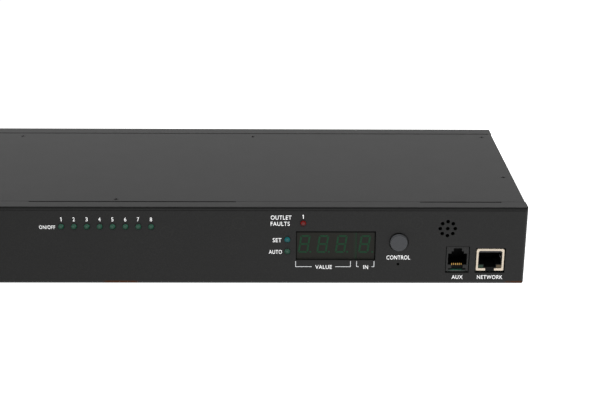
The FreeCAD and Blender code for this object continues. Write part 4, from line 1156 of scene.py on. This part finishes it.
class RackOutlets(bpy.types.Operator):
    """Finishes the outlets and the mains contacts, and numbers the outlets"""

    bl_idname = "rack.outlets"
    bl_label = "Outlets"

    def execute(self, context):
        settings = context.scene.rack_legends
        outlets = numbered("outlet", OUTLET_COUNT)
        plain_dress(
            outlets, "outlet_plastic", tone=(0.011, 0.011, 0.0115), speck=(0.017, 0.017, 0.017),
            size=0.4 * MM, roughness=0.42,
        )
        plain_dress(
            ["outlet_contacts", "mains_blades"], "contact_brass", tone=(0.72, 0.52, 0.22),
            speck=(0.60, 0.42, 0.17), size=1.2 * MM, roughness=0.33, Metallic=1.0,
        )
        finish = bpy.data.materials["legend_ink"]
        z, tall = REAR_NUMBER_RISE * MM, REAR_NUMBER_HEIGHT * MM
        for k, outlet in enumerate(outlets, 1):
            low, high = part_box(outlet)
            x = (low.x + high.x) / 2
            if k == 1:
                figure_one("outlet_number_1", x, z, tall, 1, settings, finish)
            else:
                wide = REAR_NUMBER_WIDTH * tall
                lettering(f"outlet_number_{k}", str(k), x, z, wide, tall, 1, settings, finish)
        return {"FINISHED"}


class RackInlet(bpy.types.Operator):
    """Finishes the mains inlet, the breaker and the plated hardware"""

    bl_idname = "rack.inlet"
    bl_label = "Inlet and breaker"

    def execute(self, context):
        plain_dress(
            ["power_inlet", "circuit_breaker"], "inlet_plastic", tone=(0.010, 0.010, 0.0105),
            speck=(0.016, 0.016, 0.016), size=0.45 * MM, roughness=0.38,
        )
        plain_dress(
            ["breaker_button"], "breaker_red", tone=(0.30, 0.012, 0.010), speck=(0.36, 0.018, 0.014),
            size=0.5 * MM, roughness=0.36,
        )
        plain_dress(
            ["breaker_nut", "base_standoffs", "panel_studs", "board_screws", "lamp_leads"], "plated_steel",
            tone=(0.62, 0.61, 0.58), speck=(0.52, 0.51, 0.48), size=1.0 * MM, roughness=0.3, Metallic=1.0,
        )
        return {"FINISHED"}


# Inside

TRACK_SCALE = 260.0
TRACK_RANDOMNESS = 0.4
TRACK_LINE = (0.42, 0.48)
TRACK_GREEN = (0.010, 0.110, 0.050)
EDGE_NEAR = (3.0, 2.0)
EDGE_CUT = (0.10, 0.03)
EDGE_MASK = (-0.48, -0.68)
EDGE_FOOT = (-1.25, -1.45)
EDGE_CLEAR = (2.9, 3.3)
EDGE_BARE = (0.160, 0.185, 0.177)
EDGE_GREEN = (0.002, 0.085, 0.045)
EDGE_SHADE = (0.012, 0.014, 0.013)
PLAIN_SPECK = 1.2


def board_green():
    """Green mask over copper tracks, which runs a little way down the bare front edge; that edge has painted
    shade beside the sensor socket and along its foot.
    """
    made = grainy(
        "board_green", tone=(0.004, 0.060, 0.030), speck=(0.008, 0.085, 0.042), size=1.5 * MM, roughness=0.3,
        Coat_Weight=0.2,
    )
    tree = made.tree
    inputs = {"Vector": place(tree), "Scale": TRACK_SCALE, "Randomness": TRACK_RANDOMNESS}
    tracks = add(tree, "ShaderNodeTexVoronoi", inputs, distance="MANHATTAN").outputs["Distance"]
    lines = ranged(tree, tracks, *TRACK_LINE)
    toned = blended(tree, lines, made.grain["Color"], rgba(TRACK_GREEN))
    axes = places(tree)
    edge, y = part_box("network_board")[0].y, axes["Y"]
    bare = spanned(tree, y, EDGE_NEAR, edge)
    toned = blended(tree, bare, toned, rgba(EDGE_GREEN))
    low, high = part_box("sensor_socket")
    aside = sums(tree, "ABSOLUTE", sums(tree, "SUBTRACT", axes["X"], (low.x + high.x) / 2))
    beside = spanned(tree, aside, EDGE_CLEAR)
    # Painted shade on the bare edge beside the sensor socket
    toned = blended(tree, product(tree, beside, bare), toned, rgba(EDGE_SHADE))
    cut = spanned(tree, y, EDGE_CUT, edge)
    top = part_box("network_board")[1].z
    # A pale band of bare laminate, and painted shade at the foot of the edge
    for span, tone in ((EDGE_MASK, EDGE_BARE), (EDGE_FOOT, EDGE_SHADE)):
        below = spanned(tree, axes["Z"], span, top)
        toned = blended(tree, product(tree, cut, below), toned, rgba(tone))
    return coloured(made, toned)


class RackInside(bpy.types.Operator):
    """Finishes the boards, relays, supply and wires inside"""

    bl_idname = "rack.inside"
    bl_label = "Inside"

    def execute(self, context):
        dress(board_green(), "lamp_board", "display_board", "network_board", "relay_board")
        plain_dress(
            ["board_chips", "ribbon_headers"], "chip_black", tone=(0.012, 0.012, 0.012),
            speck=(0.020, 0.020, 0.020), size=0.3 * MM, roughness=0.5,
        )
        finishes = [
            ("ribbon_grey", (0.30, 0.30, 0.31), 0.5, ["ribbon_cables"]),
            ("relay_blue", (0.012, 0.075, 0.20), 0.4, ["relays"]),
            ("terminal_green", (0.010, 0.16, 0.065), 0.45, ["wire_terminals"]),
            ("supply_case", (0.014, 0.014, 0.014), 0.42, ["supply_module", "current_transformer"]),
            ("wire_brown", (0.085, 0.030, 0.012), 0.4, ["live_wires"]),
            ("wire_blue", (0.012, 0.055, 0.24), 0.4, ["neutral_wire"]),
            ("wire_green", (0.040, 0.22, 0.030), 0.4, ["earth_wire"]),
        ]
        for name, tone, roughness, nodes in finishes:
            plain_dress(nodes, name, tone, lighter(tone, PLAIN_SPECK), size=0.6 * MM, roughness=roughness)
        return {"FINISHED"}


# Stage

FLOOR_DROP = 0.2 * MM
FLOOR_SIDES = (-0.35, 0.35)
NEAR_FLOOR = (0.74, 0.40)
BEHIND = (-0.45, 0.15)
SOFTBOX_X = 0.05
SOFTBOX_SIZE = (2.2, 0.4)
SENSOR_WIDTH = 36.0
CLIP_START = 0.01
WHITE = (1.0, 1.0, 1.0, 1.0)


def studio_floor(settings):
    clear_selection()
    bpy.ops.mesh.primitive_plane_add(size=settings.floor_size, location=(0.0, 0.0, cad_low.z - FLOOR_DROP))
    floor = bpy.context.object
    floor.name = "studio_floor"
    settle(floor)
    material, tree, shader = new_finish(
        "studio_white", Base_Color=(0.3, 0.3, 0.3, 1.0), Roughness=0.9, Specular_IOR_Level=0.0,
        Emission_Strength=1.0,
    )
    most = settings.floor_glow + settings.floor_gain
    glow = ranged(tree, places(tree)["X"], *FLOOR_SIDES, settings.floor_glow, most)
    tree.links.new(glow, shader.inputs["Emission Color"])
    floor.data.materials.append(material)


def surroundings(settings):
    """Bright behind and at the sides near the floor, dim overhead and in front."""
    world = bpy.data.worlds.new("studio")
    bpy.context.scene.world = world
    world.use_nodes = True
    tree = world.node_tree
    way = add(tree, "ShaderNodeTexCoord").outputs["Generated"]
    axes = add(tree, "ShaderNodeSeparateXYZ", {0: way}).outputs
    near_floor = ranged(tree, axes["Z"], *NEAR_FLOOR)
    behind = ranged(tree, axes["Y"], *BEHIND, settings.front_share, 1.0)
    bright = product(tree, near_floor, behind, settings.horizon - settings.zenith)
    tree.links.new(sums(tree, "ADD", bright, settings.zenith), tree.nodes["Background"].inputs["Strength"])
    tree.nodes["Background"].inputs["Color"].default_value = WHITE


def front_light(settings):
    """A long soft light above the camera."""
    clear_selection()
    away, rise = settings.softbox_away, settings.softbox_rise
    bpy.ops.object.light_add(
        type="AREA",
        location=(SOFTBOX_X, FRONT - away * math.cos(rise), away * math.sin(rise)),
        rotation=(math.pi / 2 - rise, 0.0, 0.0),
    )
    light = bpy.context.object
    light.name = "front_softbox"
    light.data.shape = "RECTANGLE"
    light.data.size, light.data.size_y = SOFTBOX_SIZE
    light.data.energy = settings.softbox


def camera(settings):
    clear_selection()
    bpy.ops.object.camera_add()
    made = bpy.context.object
    made.name = "studio_camera"
    forward = Vector((
        math.sin(settings.yaw) * math.cos(settings.pitch),
        math.cos(settings.yaw) * math.cos(settings.pitch),
        -math.sin(settings.pitch),
    ))
    level = Vector((math.cos(settings.yaw), -math.sin(settings.yaw), 0.0))
    down = forward.cross(level)
    right = math.cos(settings.roll) * level + math.sin(settings.roll) * down
    up = math.sin(settings.roll) * level - math.cos(settings.roll) * down
    turn = Matrix((right, up, -forward)).transposed().to_4x4()
    made.matrix_world = Matrix.Translation(settings.place) @ turn
    made.data.sensor_fit = "HORIZONTAL"
    made.data.sensor_width = SENSOR_WIDTH
    made.data.lens = settings.lens
    made.data.clip_start = CLIP_START
    made.data.dof.use_dof = False
    bpy.context.scene.camera = made


class RackStage(bpy.types.Operator):
    """Lays the floor and sets the light and the camera"""

    bl_idname = "rack.stage"
    bl_label = "Stage"

    def execute(self, context):
        settings = context.scene.rack_stage
        studio_floor(settings)
        surroundings(settings)
        front_light(settings)
        camera(settings)
        context.scene.view_settings.view_transform = "Standard"
        return {"FINISHED"}


OPERATORS = [
    RackCase, RackLamps, RackDisplay, RackControls, RackFrontLegends, RackBrackets, RackNetworkSocket,
    RackSensorSocket, RackOutlets, RackInlet, RackInside, RackStage,
]
SETTINGS = {
    "rack_case": RackCaseSettings,
    "rack_lamps": RackLampSettings,
    "rack_display": RackDisplaySettings,
    "rack_legends": RackLegendSettings,
    "rack_sockets": RackSocketSettings,
    "rack_stage": RackStageSettings,
}


class RackPanel(bpy.types.Panel):
    """Lists the operators that dress the rack unit"""

    bl_idname = "VIEW3D_PT_rack_unit"
    bl_label = "Rack unit"
    bl_space_type = "VIEW_3D"
    bl_region_type = "UI"
    bl_category = "Rack unit"

    def draw(self, context):
        for kind in OPERATORS:
            self.layout.operator(kind.bl_idname)


def register():
    for name, kind in SETTINGS.items():
        bpy.utils.register_class(kind)
        setattr(bpy.types.Scene, name, bpy.props.PointerProperty(type=kind))
    for kind in OPERATORS + [RackPanel]:
        bpy.utils.register_class(kind)


def unregister():
    for kind in reversed(OPERATORS + [RackPanel]):
        bpy.utils.unregister_class(kind)
    for name, kind in SETTINGS.items():
        delattr(bpy.types.Scene, name)
        bpy.utils.unregister_class(kind)


def main():
    register()
    bpy.ops.rack.case()
    bpy.ops.rack.lamps()
    bpy.ops.rack.display()
    bpy.ops.rack.controls()
    bpy.ops.rack.front_legends()
    bpy.ops.rack.brackets()
    bpy.ops.rack.network_socket()
    bpy.ops.rack.sensor_socket()
    bpy.ops.rack.outlets()
    bpy.ops.rack.inlet()
    bpy.ops.rack.inside()
    bpy.ops.rack.stage()


if __name__ == "__main__":
    main()
